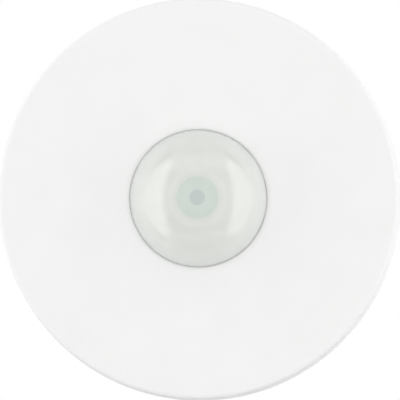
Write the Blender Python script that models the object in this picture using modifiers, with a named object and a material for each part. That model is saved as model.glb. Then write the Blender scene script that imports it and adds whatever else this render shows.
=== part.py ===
"""Round surface-mount passive infrared motion detector, as separate pieces.

Everything is modelled along a local z axis: z = 0 is the face that lies on the wall or
ceiling, and z grows towards the room. One empty, detector_stand, then turns that axis to
the row's -Y, so that the detector looks out along -Y with local y pointing up.
"""

import math

import bmesh
import bpy
from mathutils import Matrix, Vector

# ---------------------------------------------------------------- driving dimensions, metres
GAP = 0.0003  # between pieces that touch
EDGE_BREAK = 0.0003  # chamfer along the edge of a moulded piece

# front cover
COVER_RADIUS = 0.0550  # widest, at the wall end of the skirt
COVER_BACK_Z = 0.0006
COVER_FACE_Z = 0.0220  # front face where it meets the edge radius
COVER_WALL = 0.0021
COVER_DRAFT = 0.0006  # the skirt narrows by this much towards the front
COVER_EDGE_RADIUS = 0.0012
COVER_INNER_CORNER = 0.0012
COVER_SKIN = 0.0010  # what a boss or post leaves of the face's thickness in front of it
FACE_CROWN = 0.0006  # rise of the front face from its edge to the lens opening
RIB_ANGLES = (0, 60, 120, 180, 240, 300)
RIB_INNER, RIB_OUTER = 0.0300, 0.0500
RIB_THICKNESS, RIB_DEPTH = 0.0012, 0.0014
COVER_BEAD = (0.0012, 0.0080, 0.0009)  # snap bead: across the wall, along it, and high
COVER_BEAD_Z = 0.0031
BEAD_CLEARANCE = 0.00025  # between the cover's beads and the housing's wall
BOSS_RADIUS = 0.0026
PILOT_RADIUS = 0.0012  # core hole that a screw cuts its thread in
TAMPER_POST_RADIUS = 0.0014

# lens and its retainer
LENS_OPENING_RADIUS = 0.01885
LENS_RADIUS = 0.01850
LENS_WALL = 0.0008
LENS_RISE = 0.0130  # top of the dome above the front face
LENS_COLLAR_RISE = 0.0005  # upright collar above the front face, before the dome starts
LENS_FLANGE_RADIUS = 0.0218
LENS_FLANGE_DEPTH = 0.0009
RETAINER_INNER, RETAINER_OUTER = 0.0158, 0.0232
RETAINER_DEPTH = 0.0017
RETAINER_EAR_RADIUS = 0.0036
RETAINER_HOLE_RADIUS = 0.0014
RETAINER_SCREW_CIRCLE = 0.0260
RETAINER_SCREW_ANGLES = (90, 210, 330)

# rear housing
HOUSING_RADIUS = 0.0519
HOUSING_WALL = 0.0018
HOUSING_BACK_Z = 0.0008
HOUSING_FLOOR_Z = 0.0056
HOUSING_FLOOR = 0.0016
HOUSING_TOP_Z = 0.0150
HOUSING_RIM_BREAK = 0.0005
HOUSING_BEAD = (0.0012, 0.0080, 0.0010)
HOUSING_BEAD_Z = 0.0044
GUSSETS = 12
GUSSET_INNER = 0.0462
GUSSET_THICKNESS = 0.0012
GUSSET_TOP_Z = 0.0125
STANDOFF_RADIUS = 0.0030

# mounting plate and its bayonet
PLATE_RADIUS = 0.0497
PLATE_DEPTH = 0.0016
PLATE_RING_RADIUS = 0.0430
PLATE_RING_WALL = 0.0018
PLATE_TOP_Z = 0.0052
PLATE_LUG_RADIUS = 0.0464
LUG_DEPTH = 0.0015
LUG_ANGLES = (30, 150, 270)
LUG_WIDTH_DEG = 24
LUG_CLEARANCE = 0.0004  # between the housing's lugs and the plate's ring
STOP_WIDTH_DEG = 2.4
STOP_CLEARANCE_DEG = 0.4
SCREW_SLOT_X = 0.0330
SCREW_SLOT_LENGTH = 0.0100
SCREW_SLOT_WIDTH = 0.0046
SPARE_HOLE_RADIUS = 0.0022
SPARE_HOLE_XY = (0.0160, 0.0280)

# cable entry
CABLE_Y = -0.0260  # the cable comes in below the middle
CABLE_OPENING = (0.0240, 0.0140)
GROMMET_BORE = 0.0033
GROMMET_NECK = 0.0047
GROMMET_FLANGE = 0.0066
GROMMET_LIP = 0.0008
BOARD_CABLE_HOLE = 0.0050

# circuit board
PCB_RADIUS = 0.0440
PCB_Z = 0.0090
PCB_DEPTH = 0.0016
PCB_SCREW_CIRCLE = 0.0395
PCB_SCREW_ANGLES = (90, 210, 330)
PCB_SCREW_HOLE = 0.0015
PCB_PEG_ANGLE = 60
PCB_PEG_RADIUS = 0.0012
PCB_PEG_PROUD = 0.0008

# screws: head radius, head height, shank radius, shank length
BOARD_SCREW = (0.0026, 0.0013, 0.0008, 0.0042)
RETAINER_SCREW = (0.0023, 0.0012, 0.0008, 0.0033)

# pyroelectric sensor
PYRO_LEAD_CIRCLE = 0.00254
PYRO_LEAD_ANGLES = (45, 135, 270)
PYRO_LEAD_RADIUS = 0.00025
PYRO_LEAD_HOLE = 0.0006
PYRO_LEAD_TAIL = 0.0012  # length of each lead behind the board
PYRO_SPACER_RADIUS, PYRO_SPACER_DEPTH = 0.0045, 0.0008
PYRO_HEADER_RADIUS, PYRO_HEADER_DEPTH = 0.0046, 0.0006
PYRO_CAN_RADIUS = 0.0041
PYRO_CAN_HEIGHT = 0.0036
PYRO_CAN_WALL = 0.0004
PYRO_WINDOW = (0.0042, 0.0034)
PYRO_FILTER_MARGIN = 0.0004  # how far the filter reaches past the window all round
PYRO_FILTER_DEPTH = 0.0004
GASKET_INNER, GASKET_OUTER = 0.0162, 0.0182

# indicator
LED_Y = 0.0110
LED_RADIUS, LED_HEIGHT = 0.0015, 0.0034
LED_FLANGE_RADIUS, LED_FLANGE_DEPTH = 0.0019, 0.0008
LED_DOME_RADIUS, LED_DOME_DEPTH = 0.00152, 0.0008

# terminal block
TERMINALS = 6
TERMINAL_PITCH = 0.00381
TERMINAL_Y = -0.0370
TERMINAL_SIZE = (TERMINALS * TERMINAL_PITCH + 0.0008, 0.0076, 0.0082)
TERMINAL_STEP = (0.0030, 0.0018)  # the step along the block's top front edge
TERMINAL_WIRE_OPENING = (0.0026, 0.0052, 0.0026)
TERMINAL_WIRE_Z = 0.0011
TERMINAL_SCREW_Y = -0.0009  # from the middle of the block
TERMINAL_WELL_RADIUS, TERMINAL_WELL_Z = 0.0015, 0.0047
TERMINAL_SCREW_RADIUS, TERMINAL_SCREW_HEIGHT = 0.0012, 0.0026
TERMINAL_SCREW_SLOT = (0.0005, 0.0008)  # width and depth

# soldered parts: size or radius, and place on the board
RELAY_SIZE, RELAY_XY = (0.0076, 0.0154, 0.0060), (-0.0310, 0.0020)
RELAY_EDGE = 0.0004
CAPACITOR_RADIUS, CAPACITOR_HEIGHT = 0.0031, 0.0056
CAPACITOR_BASE = (0.0066, 0.0066, 0.0008)
CAPACITOR_GROOVE_Z, CAPACITOR_GROOVE = 0.0013, 0.0003
CAPACITOR_XY = ((-0.0280, 0.0200), (-0.0190, 0.0290))
LEG_PITCH = 0.00127
LEG_REACH, LEG_WIDTH, LEG_THICKNESS = 0.0012, 0.0005, 0.0003
PACKAGE_STANDOFF = 0.0002
MICROCONTROLLER_SIZE, MICROCONTROLLER_XY = (0.0087, 0.0039, 0.0015), (0.0270, 0.0140)
MICROCONTROLLER_LEGS = 7  # on each side
AMPLIFIER_SIZE, AMPLIFIER_XY = (0.0049, 0.0039, 0.0015), (0.0060, 0.0300)
AMPLIFIER_LEGS = 4
REGULATOR_SIZE, REGULATOR_XY = (0.0046, 0.0026, 0.0016), (-0.0290, -0.0120)
DIODE_SIZE, DIODE_XY = (0.0044, 0.0027, 0.0022), (-0.0205, -0.0290)
RESISTOR_SIZE = (0.0020, 0.0013, 0.0006)
RESISTOR_XY = ((-0.0060, 0.0250), (-0.0060, 0.0290), (0.0120, 0.0220), (-0.0360, -0.0120))
CHIP_CAPACITOR_SIZE = (0.0020, 0.0013, 0.0010)
CHIP_CAPACITOR_XY = ((-0.0100, 0.0330), (0.0190, 0.0200), (-0.0220, -0.0200))
CHIP_EDGE = 0.00012
PACKAGE_EDGE = 0.0001

# adjusters
WELL_FLOOR = 0.0012  # thickness of plastic under a rotor, slider or plunger
SWITCH_EDGE = 0.0002
TRIMMER_XY = (0.0200, 0.0280)
TRIMMER_SIZE = (0.0066, 0.0066, 0.0030)
TRIMMER_EDGE = 0.0003
ROTOR_RADIUS, ROTOR_HEIGHT = 0.0022, 0.0020
ROTOR_RECESS = (0.0032, 0.0006, 0.0008)  # length, width and depth of each arm of the cross
DIP_XY = (0.0315, -0.0020)
DIP_WAYS = 3
DIP_PITCH = 0.00254
DIP_TRAVEL = 0.0014
DIP_SIZE = (0.0062, DIP_WAYS * DIP_PITCH + 0.0014, 0.0028)
DIP_SLIDER = (0.0016, 0.0009, 0.0022)
TAMPER_XY = (0.0260, -0.0285)
TAMPER_SIZE = (0.0062, 0.0062, 0.0034)
TAMPER_PLUNGER_RADIUS = 0.0017
TAMPER_PLUNGER_PROUD = 0.0013  # above its body, with the cover on

# ---------------------------------------------------------------- worked out from those
FACE_Z = COVER_FACE_Z + FACE_CROWN  # front face at the lens opening
INNER_FACE_Z = FACE_Z - COVER_WALL  # back of that face
FACE_EDGE_RADIUS = COVER_RADIUS - COVER_DRAFT - COVER_EDGE_RADIUS
FLANGE_TOP_Z = INNER_FACE_Z - GAP
FLANGE_BACK_Z = FLANGE_TOP_Z - LENS_FLANGE_DEPTH
RETAINER_TOP_Z = FLANGE_BACK_Z - GAP
RETAINER_BACK_Z = RETAINER_TOP_Z - RETAINER_DEPTH
FLOOR_TOP_Z = HOUSING_FLOOR_Z + HOUSING_FLOOR
HOUSING_BORE = HOUSING_RADIUS - HOUSING_WALL
PCB_TOP_Z = PCB_Z + PCB_DEPTH
ON_BOARD_Z = PCB_TOP_Z + GAP  # underside of whatever is soldered to the board
PYRO_HEADER_Z = ON_BOARD_Z + PYRO_SPACER_DEPTH + GAP
PYRO_CAN_Z = PYRO_HEADER_Z + PYRO_HEADER_DEPTH + GAP
WELL_Z = ON_BOARD_Z + WELL_FLOOR
TAMPER_PLUNGER_TOP = ON_BOARD_Z + TAMPER_SIZE[2] + TAMPER_PLUNGER_PROUD

# ---------------------------------------------------------------- modelling tolerances
OVERLAP = 0.0004  # how far a joined shape reaches into its neighbour
NUDGE = 0.0001  # keeps faces of joined shapes from lying in one plane
BEYOND = 0.0010  # how far a cutter passes the face that it cuts
WELD = 0.00001
SMOOTH_ANGLE = math.radians(32)
ROUND_SIDES = 72  # on the large turned pieces

PARTS = None
CUTTERS = None
STAND = None


# ---------------------------------------------------------------- scene helpers
def clear_scene():
    for obj in list(bpy.data.objects):
        bpy.data.objects.remove(obj, do_unlink=True)


def new_collection(name):
    collection = bpy.data.collections.new(name)
    bpy.context.scene.collection.children.link(collection)
    return collection


def new_empty(name, location=(0, 0, 0), parent=None):
    empty = bpy.data.objects.new(name, None)
    empty.empty_display_size = 0.01
    empty.location = location
    empty.parent = parent
    PARTS.objects.link(empty)
    return empty


def finish(name, colour, roughness=0.5, metallic=0.0):
    """A material with a Principled shader."""
    material = bpy.data.materials.get(name) or bpy.data.materials.new(name)
    material.use_nodes = True
    shader = material.node_tree.nodes["Principled BSDF"]
    shader.inputs["Base Color"].default_value = (*colour, 1)
    shader.inputs["Roughness"].default_value = roughness
    shader.inputs["Metallic"].default_value = metallic
    material.diffuse_color = (*colour, 1)
    return material


def on_circle(radius, degrees, z=0.0):
    turn = math.radians(degrees)
    return Vector((radius * math.cos(turn), radius * math.sin(turn), z))


# ---------------------------------------------------------------- shapes
def placed(obj, material, parent, location=(0, 0, 0), turn=0.0):
    """Puts an object under its parent, and gives it its material."""
    obj.parent = parent
    obj.location = location
    obj.rotation_euler = (0, 0, turn)
    obj.data.materials.append(material)
    return obj


def from_bmesh(name, bm, collection=None):
    bmesh.ops.recalc_face_normals(bm, faces=bm.faces)
    mesh = bpy.data.meshes.new(name)
    bm.to_mesh(mesh)
    bm.free()
    obj = bpy.data.objects.new(name, mesh)
    (collection or PARTS).objects.link(obj)
    return obj


def box(name, size, z0, at=(0, 0), bevel=0.0):
    """A block of size x, y, z, standing on z0 about the point at."""
    bm = bmesh.new()
    place = Matrix.Translation((at[0], at[1], z0 + size[2] / 2)) @ Matrix.Diagonal((*size, 1))
    bmesh.ops.create_cube(bm, size=1, matrix=place)
    obj = from_bmesh(name, bm)
    if bevel:
        edges = obj.modifiers.new("edges", "BEVEL")
        edges.width = bevel
        edges.segments = 1
    return obj


def rod(name, radius, z0, z1, at=(0, 0), sides=24):
    """A cylinder about the vertical line through at."""
    bm = bmesh.new()
    bmesh.ops.create_cone(
        bm,
        cap_ends=True,
        segments=sides,
        radius1=radius,
        radius2=radius,
        depth=z1 - z0,
        matrix=Matrix.Translation((at[0], at[1], (z0 + z1) / 2)),
    )
    return from_bmesh(name, bm)


def slot_block(name, length, width, z0, z1, at=(0, 0), turn=0.0, end_steps=6):
    """An upright block with round ends, length over all."""
    bm = bmesh.new()
    half = (length - width) / 2
    outline = []
    for side, start in ((1, -90), (-1, 90)):
        for step in range(end_steps + 1):
            angle = math.radians(start + 180 * step / end_steps)
            x = side * half + width / 2 * math.cos(angle)
            outline.append(Vector((x, width / 2 * math.sin(angle), z0)))
    place = Matrix.Translation((at[0], at[1], 0)) @ Matrix.Rotation(turn, 4, "Z")
    base = bm.faces.new([bm.verts.new(place @ point) for point in outline])
    raised = bmesh.ops.extrude_face_region(bm, geom=[base])["geom"]
    lifted = [item for item in raised if isinstance(item, bmesh.types.BMVert)]
    bmesh.ops.translate(bm, verts=lifted, vec=(0, 0, z1 - z0))
    return from_bmesh(name, bm)


def arc_block(name, inner, outer, z0, z1, middle_deg, width_deg):
    """A stretch of a ring with a rectangular section, made by spinning that section."""
    bm = bmesh.new()
    corners = ((inner, z0), (outer, z0), (outer, z1), (inner, z1))
    start = Matrix.Rotation(math.radians(middle_deg - width_deg / 2), 4, "Z")
    section = bm.faces.new([bm.verts.new(start @ Vector((r, 0, z))) for r, z in corners])
    bmesh.ops.spin(
        bm,
        geom=[section, *section.edges, *section.verts],
        axis=(0, 0, 1),
        angle=math.radians(width_deg),
        steps=max(2, round(width_deg / 5)),
    )
    return from_bmesh(name, bm)


def turned(name, profile, sides):
    """A turned piece. The profile's (radius, z) points run down its outer side. One that
    starts and ends on the axis is open there, and any other is closed into a ring."""
    on_axis = profile[0][0] == 0 and profile[-1][0] == 0
    mesh = bpy.data.meshes.new(name)
    count = len(profile)
    edges = [(i, (i + 1) % count) for i in range(count - 1 if on_axis else count)]
    mesh.from_pydata([(r, 0, z) for r, z in profile], edges, [])
    obj = bpy.data.objects.new(name, mesh)
    PARTS.objects.link(obj)
    lathe = obj.modifiers.new("lathe", "SCREW")
    lathe.axis = "Z"
    lathe.angle = math.tau
    lathe.steps = lathe.render_steps = sides
    lathe.use_merge_vertices = True
    lathe.merge_threshold = WELD
    lathe.use_smooth_shade = True
    return obj


def ring(name, inner, outer, z0, z1, sides):
    """A plain ring with a rectangular section."""
    return turned(name, [(inner, z1), (outer, z1), (outer, z0), (inner, z0)], sides)


def ring_arc(centre_r, centre_z, radius, start_deg, end_deg, steps):
    """Points of an arc in the (radius, z) plane, both ends included."""
    points = []
    for step in range(steps + 1):
        angle = math.radians(start_deg + (end_deg - start_deg) * step / steps)
        points.append((centre_r + radius * math.cos(angle), centre_z + radius * math.sin(angle)))
    return points


def boolean(obj, other, operation):
    other.hide_render = True
    other.display_type = "WIRE"
    for collection in list(other.users_collection):
        collection.objects.unlink(other)
    CUTTERS.objects.link(other)
    other.parent = obj
    modifier = obj.modifiers.new(other.name, "BOOLEAN")
    modifier.operation = operation
    modifier.solver = "EXACT"
    modifier.object = other


def cut(obj, *others):
    for other in others:
        boolean(obj, other, "DIFFERENCE")


def join(obj, *others):
    for other in others:
        boolean(obj, other, "UNION")


def join_turned(obj, other, degrees):
    """Joins a shape after turning it about the detector's axis."""
    join(obj, other)
    other.rotation_euler.z = math.radians(degrees)


def smooth(obj):
    """Smooth shading with the hard edges kept sharp."""
    obj.data.shade_smooth()
    obj.data.set_sharp_from_angle(angle=SMOOTH_ANGLE)
    return obj


# ---------------------------------------------------------------- mounting plate
def mounting_plate(material):
    """A flat disc with an upright ring whose lugs hold the detector body."""
    profile = [
        (0, PLATE_DEPTH),
        (PLATE_RADIUS, PLATE_DEPTH),
        (PLATE_RADIUS, EDGE_BREAK),
        (PLATE_RADIUS - EDGE_BREAK, 0),
        (0, 0),
    ]
    plate = turned("mounting_plate", profile, ROUND_SIDES)
    ring_inner = PLATE_RING_RADIUS - PLATE_RING_WALL
    sunk = PLATE_DEPTH / 2
    join(plate, ring("plate_ring", ring_inner, PLATE_RING_RADIUS, sunk, PLATE_TOP_Z, ROUND_SIDES))
    for number, angle in enumerate(LUG_ANGLES, 1):
        join(plate, plate_lug(number, angle), plate_stop(number, angle))
    below, above = -BEYOND, PLATE_DEPTH + BEYOND
    cut(plate, slot_block("cable_cut", *CABLE_OPENING, below, above, (0, CABLE_Y)))
    for side, turn in ((-1, math.pi / 2), (1, 0)):
        slot = (SCREW_SLOT_LENGTH, SCREW_SLOT_WIDTH)
        at = (side * SCREW_SLOT_X, 0)
        cut(plate, slot_block(f"screw_slot_{side}", *slot, below, above, at, turn))
        at = (side * SPARE_HOLE_XY[0], SPARE_HOLE_XY[1])
        cut(plate, rod(f"spare_hole_{side}", SPARE_HOLE_RADIUS, below, above, at, 12))
    return placed(plate, material, STAND)


def plate_lug(number, angle):
    """A bayonet lug that reaches outwards from the plate's ring."""
    root = PLATE_RING_RADIUS - PLATE_RING_WALL / 2
    top = PLATE_TOP_Z - NUDGE
    name = f"plate_lug_{number}"
    return arc_block(name, root, PLATE_LUG_RADIUS, top - LUG_DEPTH, top, angle, LUG_WIDTH_DEG)


def plate_stop(number, angle):
    """An upright stop beside each lug, which ends the locking turn."""
    root = PLATE_RING_RADIUS - PLATE_RING_WALL / 2
    middle = angle - LUG_WIDTH_DEG / 2 - STOP_CLEARANCE_DEG - STOP_WIDTH_DEG / 2
    name = f"plate_stop_{number}"
    top = PLATE_TOP_Z - 3 * NUDGE
    outer = PLATE_LUG_RADIUS - 2 * NUDGE
    return arc_block(name, root, outer, PLATE_DEPTH / 2, top, middle, STOP_WIDTH_DEG)


# ---------------------------------------------------------------- rear housing
def rear_housing(material, parent):
    """A shallow pan that clips over the plate and carries the board."""
    profile = [
        (0, FLOOR_TOP_Z),
        (HOUSING_BORE, FLOOR_TOP_Z),
        (HOUSING_BORE, HOUSING_TOP_Z),
        (HOUSING_RADIUS - HOUSING_RIM_BREAK, HOUSING_TOP_Z),
        (HOUSING_RADIUS, HOUSING_TOP_Z - HOUSING_RIM_BREAK),
        (HOUSING_RADIUS, HOUSING_BACK_Z),
        (HOUSING_BORE, HOUSING_BACK_Z),
        (HOUSING_BORE, HOUSING_FLOOR_Z),
        (0, HOUSING_FLOOR_Z),
    ]
    housing = turned("rear_housing", profile, ROUND_SIDES)
    for number, angle in enumerate(LUG_ANGLES, 1):
        join(housing, housing_lug(number, angle))
    for number, angle in enumerate(PCB_SCREW_ANGLES, 1):
        at = on_circle(PCB_SCREW_CIRCLE, angle)
        foot = FLOOR_TOP_Z - HOUSING_FLOOR / 2
        join(housing, rod(f"standoff_{number}", STANDOFF_RADIUS, foot, PCB_Z - GAP, at, 16))
        bottom = HOUSING_FLOOR_Z + OVERLAP
        cut(housing, rod(f"pilot_{number}", PILOT_RADIUS, bottom, PCB_Z + BEYOND, at, 12))
    for number, angle in enumerate(LUG_ANGLES, 1):
        at = (HOUSING_RADIUS - OVERLAP, 0)
        join_turned(housing, box(f"housing_bead_{number}", HOUSING_BEAD, HOUSING_BEAD_Z, at), angle)
    for number in range(GUSSETS):
        join_turned(housing, gusset(number), 360 * (number + 0.5) / GUSSETS)
    peg_at = on_circle(PCB_SCREW_CIRCLE, PCB_PEG_ANGLE)
    peg_top = PCB_TOP_Z + PCB_PEG_PROUD
    join(housing, rod("board_peg", PCB_PEG_RADIUS, FLOOR_TOP_Z - OVERLAP, peg_top, peg_at, 12))
    low, high = HOUSING_FLOOR_Z - BEYOND, FLOOR_TOP_Z + BEYOND
    cut(housing, rod("grommet_hole", GROMMET_NECK + GAP, low, high, (0, CABLE_Y)))
    return placed(housing, material, parent)


def housing_lug(number, angle):
    """A bayonet lug inside the skirt, which hooks behind one of the plate's lugs."""
    root, tip = HOUSING_BORE + HOUSING_WALL / 2, PLATE_RING_RADIUS + LUG_CLEARANCE
    low, high = PLATE_DEPTH + GAP, PLATE_TOP_Z - NUDGE - LUG_DEPTH - GAP
    return arc_block(f"housing_lug_{number}", tip, root, low, high, angle, LUG_WIDTH_DEG - 2)


def gusset(number):
    """A low rib between the housing's floor and its wall, drawn on the x axis."""
    length = HOUSING_BORE + HOUSING_WALL / 2 - GUSSET_INNER
    foot = FLOOR_TOP_Z - OVERLAP
    size = (length, GUSSET_THICKNESS, GUSSET_TOP_Z - foot)
    return box(f"gusset_{number}", size, foot, (GUSSET_INNER + length / 2, 0))


def cable_grommet(material, parent):
    """A rubber bush held by its groove in the housing's floor."""
    low, high = HOUSING_FLOOR_Z - GAP, FLOOR_TOP_Z + GAP
    profile = [
        (GROMMET_BORE, high + GROMMET_LIP),
        (GROMMET_FLANGE - EDGE_BREAK, high + GROMMET_LIP),
        (GROMMET_FLANGE, high + GROMMET_LIP - EDGE_BREAK),
        (GROMMET_FLANGE, high),
        (GROMMET_NECK, high),
        (GROMMET_NECK, low),
        (GROMMET_FLANGE, low),
        (GROMMET_FLANGE, low - GROMMET_LIP + EDGE_BREAK),
        (GROMMET_FLANGE - EDGE_BREAK, low - GROMMET_LIP),
        (GROMMET_BORE, low - GROMMET_LIP),
    ]
    return placed(turned("cable_grommet", profile, 24), material, parent, (0, CABLE_Y, 0))


# ---------------------------------------------------------------- screws
def pan_screw(name, sizes, material, parent, at, down=True):
    """A pan-head screw with a cross recess. Its shank points down, or up when down is False."""
    head_radius, head, shank_radius, length = sizes
    profile = [
        (0, head),
        (head_radius * 0.62, head),
        (head_radius * 0.93, head * 0.62),
        (head_radius, 0),
        (shank_radius, 0),
        (shank_radius, -length + shank_radius),
        (0, -length),
    ]
    screw = turned(name, profile, 16)
    arm, blade, recess_floor = head_radius * 1.05, head_radius * 0.26, head * 0.45
    for number, size in enumerate(((arm, blade), (blade, arm))):
        cut(screw, box(f"{name}_recess_{number}", (*size, head), recess_floor))
    placed(screw, material, parent, at)
    if not down:
        screw.rotation_euler.x = math.pi
    return screw


# ---------------------------------------------------------------- board
def circuit_board(material, parent):
    """The round board with its screw, peg, lead and cable holes."""
    board = rod("circuit_board", PCB_RADIUS, PCB_Z, PCB_TOP_Z, sides=ROUND_SIDES)
    low, high = PCB_Z - BEYOND, PCB_TOP_Z + BEYOND
    cut(board, rod("board_cable_hole", BOARD_CABLE_HOLE, low, high, (0, CABLE_Y)))
    for number, angle in enumerate(PCB_SCREW_ANGLES, 1):
        at = on_circle(PCB_SCREW_CIRCLE, angle)
        cut(board, rod(f"board_screw_hole_{number}", PCB_SCREW_HOLE, low, high, at, 12))
    peg_at = on_circle(PCB_SCREW_CIRCLE, PCB_PEG_ANGLE)
    cut(board, rod("board_peg_hole", PCB_PEG_RADIUS + GAP, low, high, peg_at, 12))
    for number, angle in enumerate(PYRO_LEAD_ANGLES, 1):
        at = on_circle(PYRO_LEAD_CIRCLE, angle)
        cut(board, rod(f"board_lead_hole_{number}", PYRO_LEAD_HOLE, low, high, at, 8))
    return placed(board, material, parent)


# ---------------------------------------------------------------- pyroelectric sensor
def pyro_spacer(material, parent):
    """The plastic disc that keeps the sensor's base off the board."""
    top = ON_BOARD_Z + PYRO_SPACER_DEPTH
    spacer = rod("pyro_spacer", PYRO_SPACER_RADIUS, ON_BOARD_Z, top)
    for number, angle in enumerate(PYRO_LEAD_ANGLES, 1):
        at = on_circle(PYRO_LEAD_CIRCLE, angle)
        low, high = ON_BOARD_Z - BEYOND, top + GAP
        cut(spacer, rod(f"spacer_hole_{number}", PYRO_LEAD_HOLE, low, high, at, 8))
    return placed(spacer, material, parent)


def pyro_header(material, parent):
    """The sensor's metal base with its three leads."""
    top = PYRO_HEADER_Z + PYRO_HEADER_DEPTH
    header = rod("pyro_header", PYRO_HEADER_RADIUS, PYRO_HEADER_Z, top, sides=32)
    for number, angle in enumerate(PYRO_LEAD_ANGLES, 1):
        at = on_circle(PYRO_LEAD_CIRCLE, angle)
        low, high = PCB_Z - PYRO_LEAD_TAIL, PYRO_HEADER_Z + PYRO_HEADER_DEPTH / 2
        join(header, rod(f"pyro_lead_{number}", PYRO_LEAD_RADIUS, low, high, at, 8))
    return placed(header, material, parent)


def pyro_can(material, parent):
    """The sensor's metal cap, open below, with a window in its top."""
    outer, flange = PYRO_CAN_RADIUS, PYRO_HEADER_RADIUS
    inner = outer - PYRO_CAN_WALL
    top = PYRO_CAN_Z + PYRO_CAN_HEIGHT
    profile = [
        (0, top),
        (outer - PYRO_CAN_WALL, top),
        (outer, top - PYRO_CAN_WALL),
        (outer, PYRO_CAN_Z + PYRO_CAN_WALL),
        (flange, PYRO_CAN_Z + PYRO_CAN_WALL),
        (flange, PYRO_CAN_Z),
        (inner, PYRO_CAN_Z),
        (inner, top - PYRO_CAN_WALL),
        (0, top - PYRO_CAN_WALL),
    ]
    can = turned("pyro_can", profile, 32)
    cut(can, box("can_window_cut", (*PYRO_WINDOW, 2 * BEYOND), top - BEYOND))
    return placed(can, material, parent)


def pyro_window(material, parent):
    """The infrared filter, just under the can's top."""
    under_top = PYRO_CAN_Z + PYRO_CAN_HEIGHT - PYRO_CAN_WALL
    width, height = (side + 2 * PYRO_FILTER_MARGIN for side in PYRO_WINDOW)
    z0 = under_top - GAP - PYRO_FILTER_DEPTH
    window = box("pyro_window", (width, height, PYRO_FILTER_DEPTH), z0)
    return placed(window, material, parent)


def sensor_gasket(material, parent):
    """A foam ring that closes the sensor's chamber against draughts and insects."""
    top = RETAINER_BACK_Z - GAP
    gasket = ring("sensor_gasket", GASKET_INNER, GASKET_OUTER, ON_BOARD_Z, top, 48)
    return placed(gasket, material, parent)


def status_led(material, parent):
    """A round indicator that shines through the lens."""
    led = rod("status_led", LED_RADIUS, ON_BOARD_Z, ON_BOARD_Z + LED_HEIGHT, sides=16)
    flange_top = ON_BOARD_Z + LED_FLANGE_DEPTH
    flange = rod("led_flange", LED_FLANGE_RADIUS, ON_BOARD_Z - WELD, flange_top, sides=16)
    centre_z = ON_BOARD_Z + LED_HEIGHT - 2 * NUDGE
    low = centre_z - LED_DOME_DEPTH
    profile = ring_arc(0, centre_z, LED_DOME_RADIUS, 90, 0, 4)
    profile[0] = (0, centre_z + LED_DOME_RADIUS)
    dome = turned("led_dome", [*profile, (0.8 * LED_RADIUS, low), (0, low)], 16)
    join(led, flange, dome)
    return placed(led, material, parent, (0, LED_Y, 0))


# ---------------------------------------------------------------- terminal block
def terminal_x(number):
    return (number - (TERMINALS + 1) / 2) * TERMINAL_PITCH


def terminal_block(material, parent):
    """A row of screw terminals, with the wire openings towards the cable."""
    length, depth, height = TERMINAL_SIZE
    block = box("terminal_block", TERMINAL_SIZE, ON_BOARD_Z)
    front, top = depth / 2, ON_BOARD_Z + height
    step_depth, step_height = TERMINAL_STEP
    step = (2 * length, step_depth, step_height + BEYOND)
    cut(block, box("terminal_step", step, top - step_height, (0, front)))
    for number in range(1, TERMINALS + 1):
        x = terminal_x(number)
        name = f"wire_opening_{number}"
        wire = box(name, TERMINAL_WIRE_OPENING, ON_BOARD_Z + TERMINAL_WIRE_Z, (x, front))
        low, high = ON_BOARD_Z + TERMINAL_WELL_Z, top + BEYOND
        at = (x, TERMINAL_SCREW_Y)
        well = rod(f"screw_well_{number}", TERMINAL_WELL_RADIUS, low, high, at, 12)
        cut(block, wire, well)
    return placed(block, material, parent, (0, TERMINAL_Y, 0))


def terminal_screw(number, material, parent):
    """A slotted screw at the bottom of its well."""
    low = ON_BOARD_Z + TERMINAL_WELL_Z + GAP
    top = low + TERMINAL_SCREW_HEIGHT
    screw = rod(f"terminal_screw_{number}", TERMINAL_SCREW_RADIUS, low, top, sides=12)
    width, depth = TERMINAL_SCREW_SLOT
    slot = (4 * TERMINAL_SCREW_RADIUS, width, depth + BEYOND)
    cut(screw, box(f"terminal_screw_slot_{number}", slot, top - depth))
    at = (terminal_x(number), TERMINAL_Y + TERMINAL_SCREW_Y, 0)
    return placed(screw, material, parent, at)


# ---------------------------------------------------------------- soldered parts
def alarm_relay(material, parent):
    relay = box("alarm_relay", RELAY_SIZE, ON_BOARD_Z, bevel=RELAY_EDGE)
    return placed(relay, material, parent, (*RELAY_XY, 0))


def electrolytic(name, at, material, parent):
    """A surface-mount can, crimped near its foot, on its square base."""
    radius, groove = CAPACITOR_RADIUS, CAPACITOR_GROOVE
    base = box(name, CAPACITOR_BASE, ON_BOARD_Z)
    low = ON_BOARD_Z + CAPACITOR_BASE[2] - 2 * NUDGE
    top = ON_BOARD_Z + CAPACITOR_HEIGHT
    groove_z = low + CAPACITOR_GROOVE_Z
    profile = [
        (0, top),
        (radius - EDGE_BREAK, top),
        (radius, top - EDGE_BREAK),
        (radius, groove_z + groove),
        (radius - groove, groove_z),
        (radius, groove_z - groove),
        (radius, low),
        (0, low),
    ]
    join(base, turned(f"{name}_can", profile, 24))
    return placed(base, material, parent, (*at, 0))


def chip_package(name, body, legs_each_side, at, material, parent, turn=0.0):
    """A moulded package with a row of bent legs down each long side."""
    package = box(name, body, ON_BOARD_Z + PACKAGE_STANDOFF, bevel=PACKAGE_EDGE)
    across = body[1] + 2 * LEG_REACH
    for index in range(legs_each_side):
        foot = box(f"{name}_leg_{index}", (LEG_WIDTH, across, LEG_THICKNESS), ON_BOARD_Z)
        foot.location.x = (index - (legs_each_side - 1) / 2) * LEG_PITCH
        join(package, foot)
    return placed(package, material, parent, (*at, 0), turn)


def chip_part(name, size, at, material, parent):
    """A small block soldered at both ends, drawn as one solid."""
    block = box(name, size, ON_BOARD_Z, bevel=CHIP_EDGE)
    return placed(block, material, parent, (*at, 0))


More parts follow.
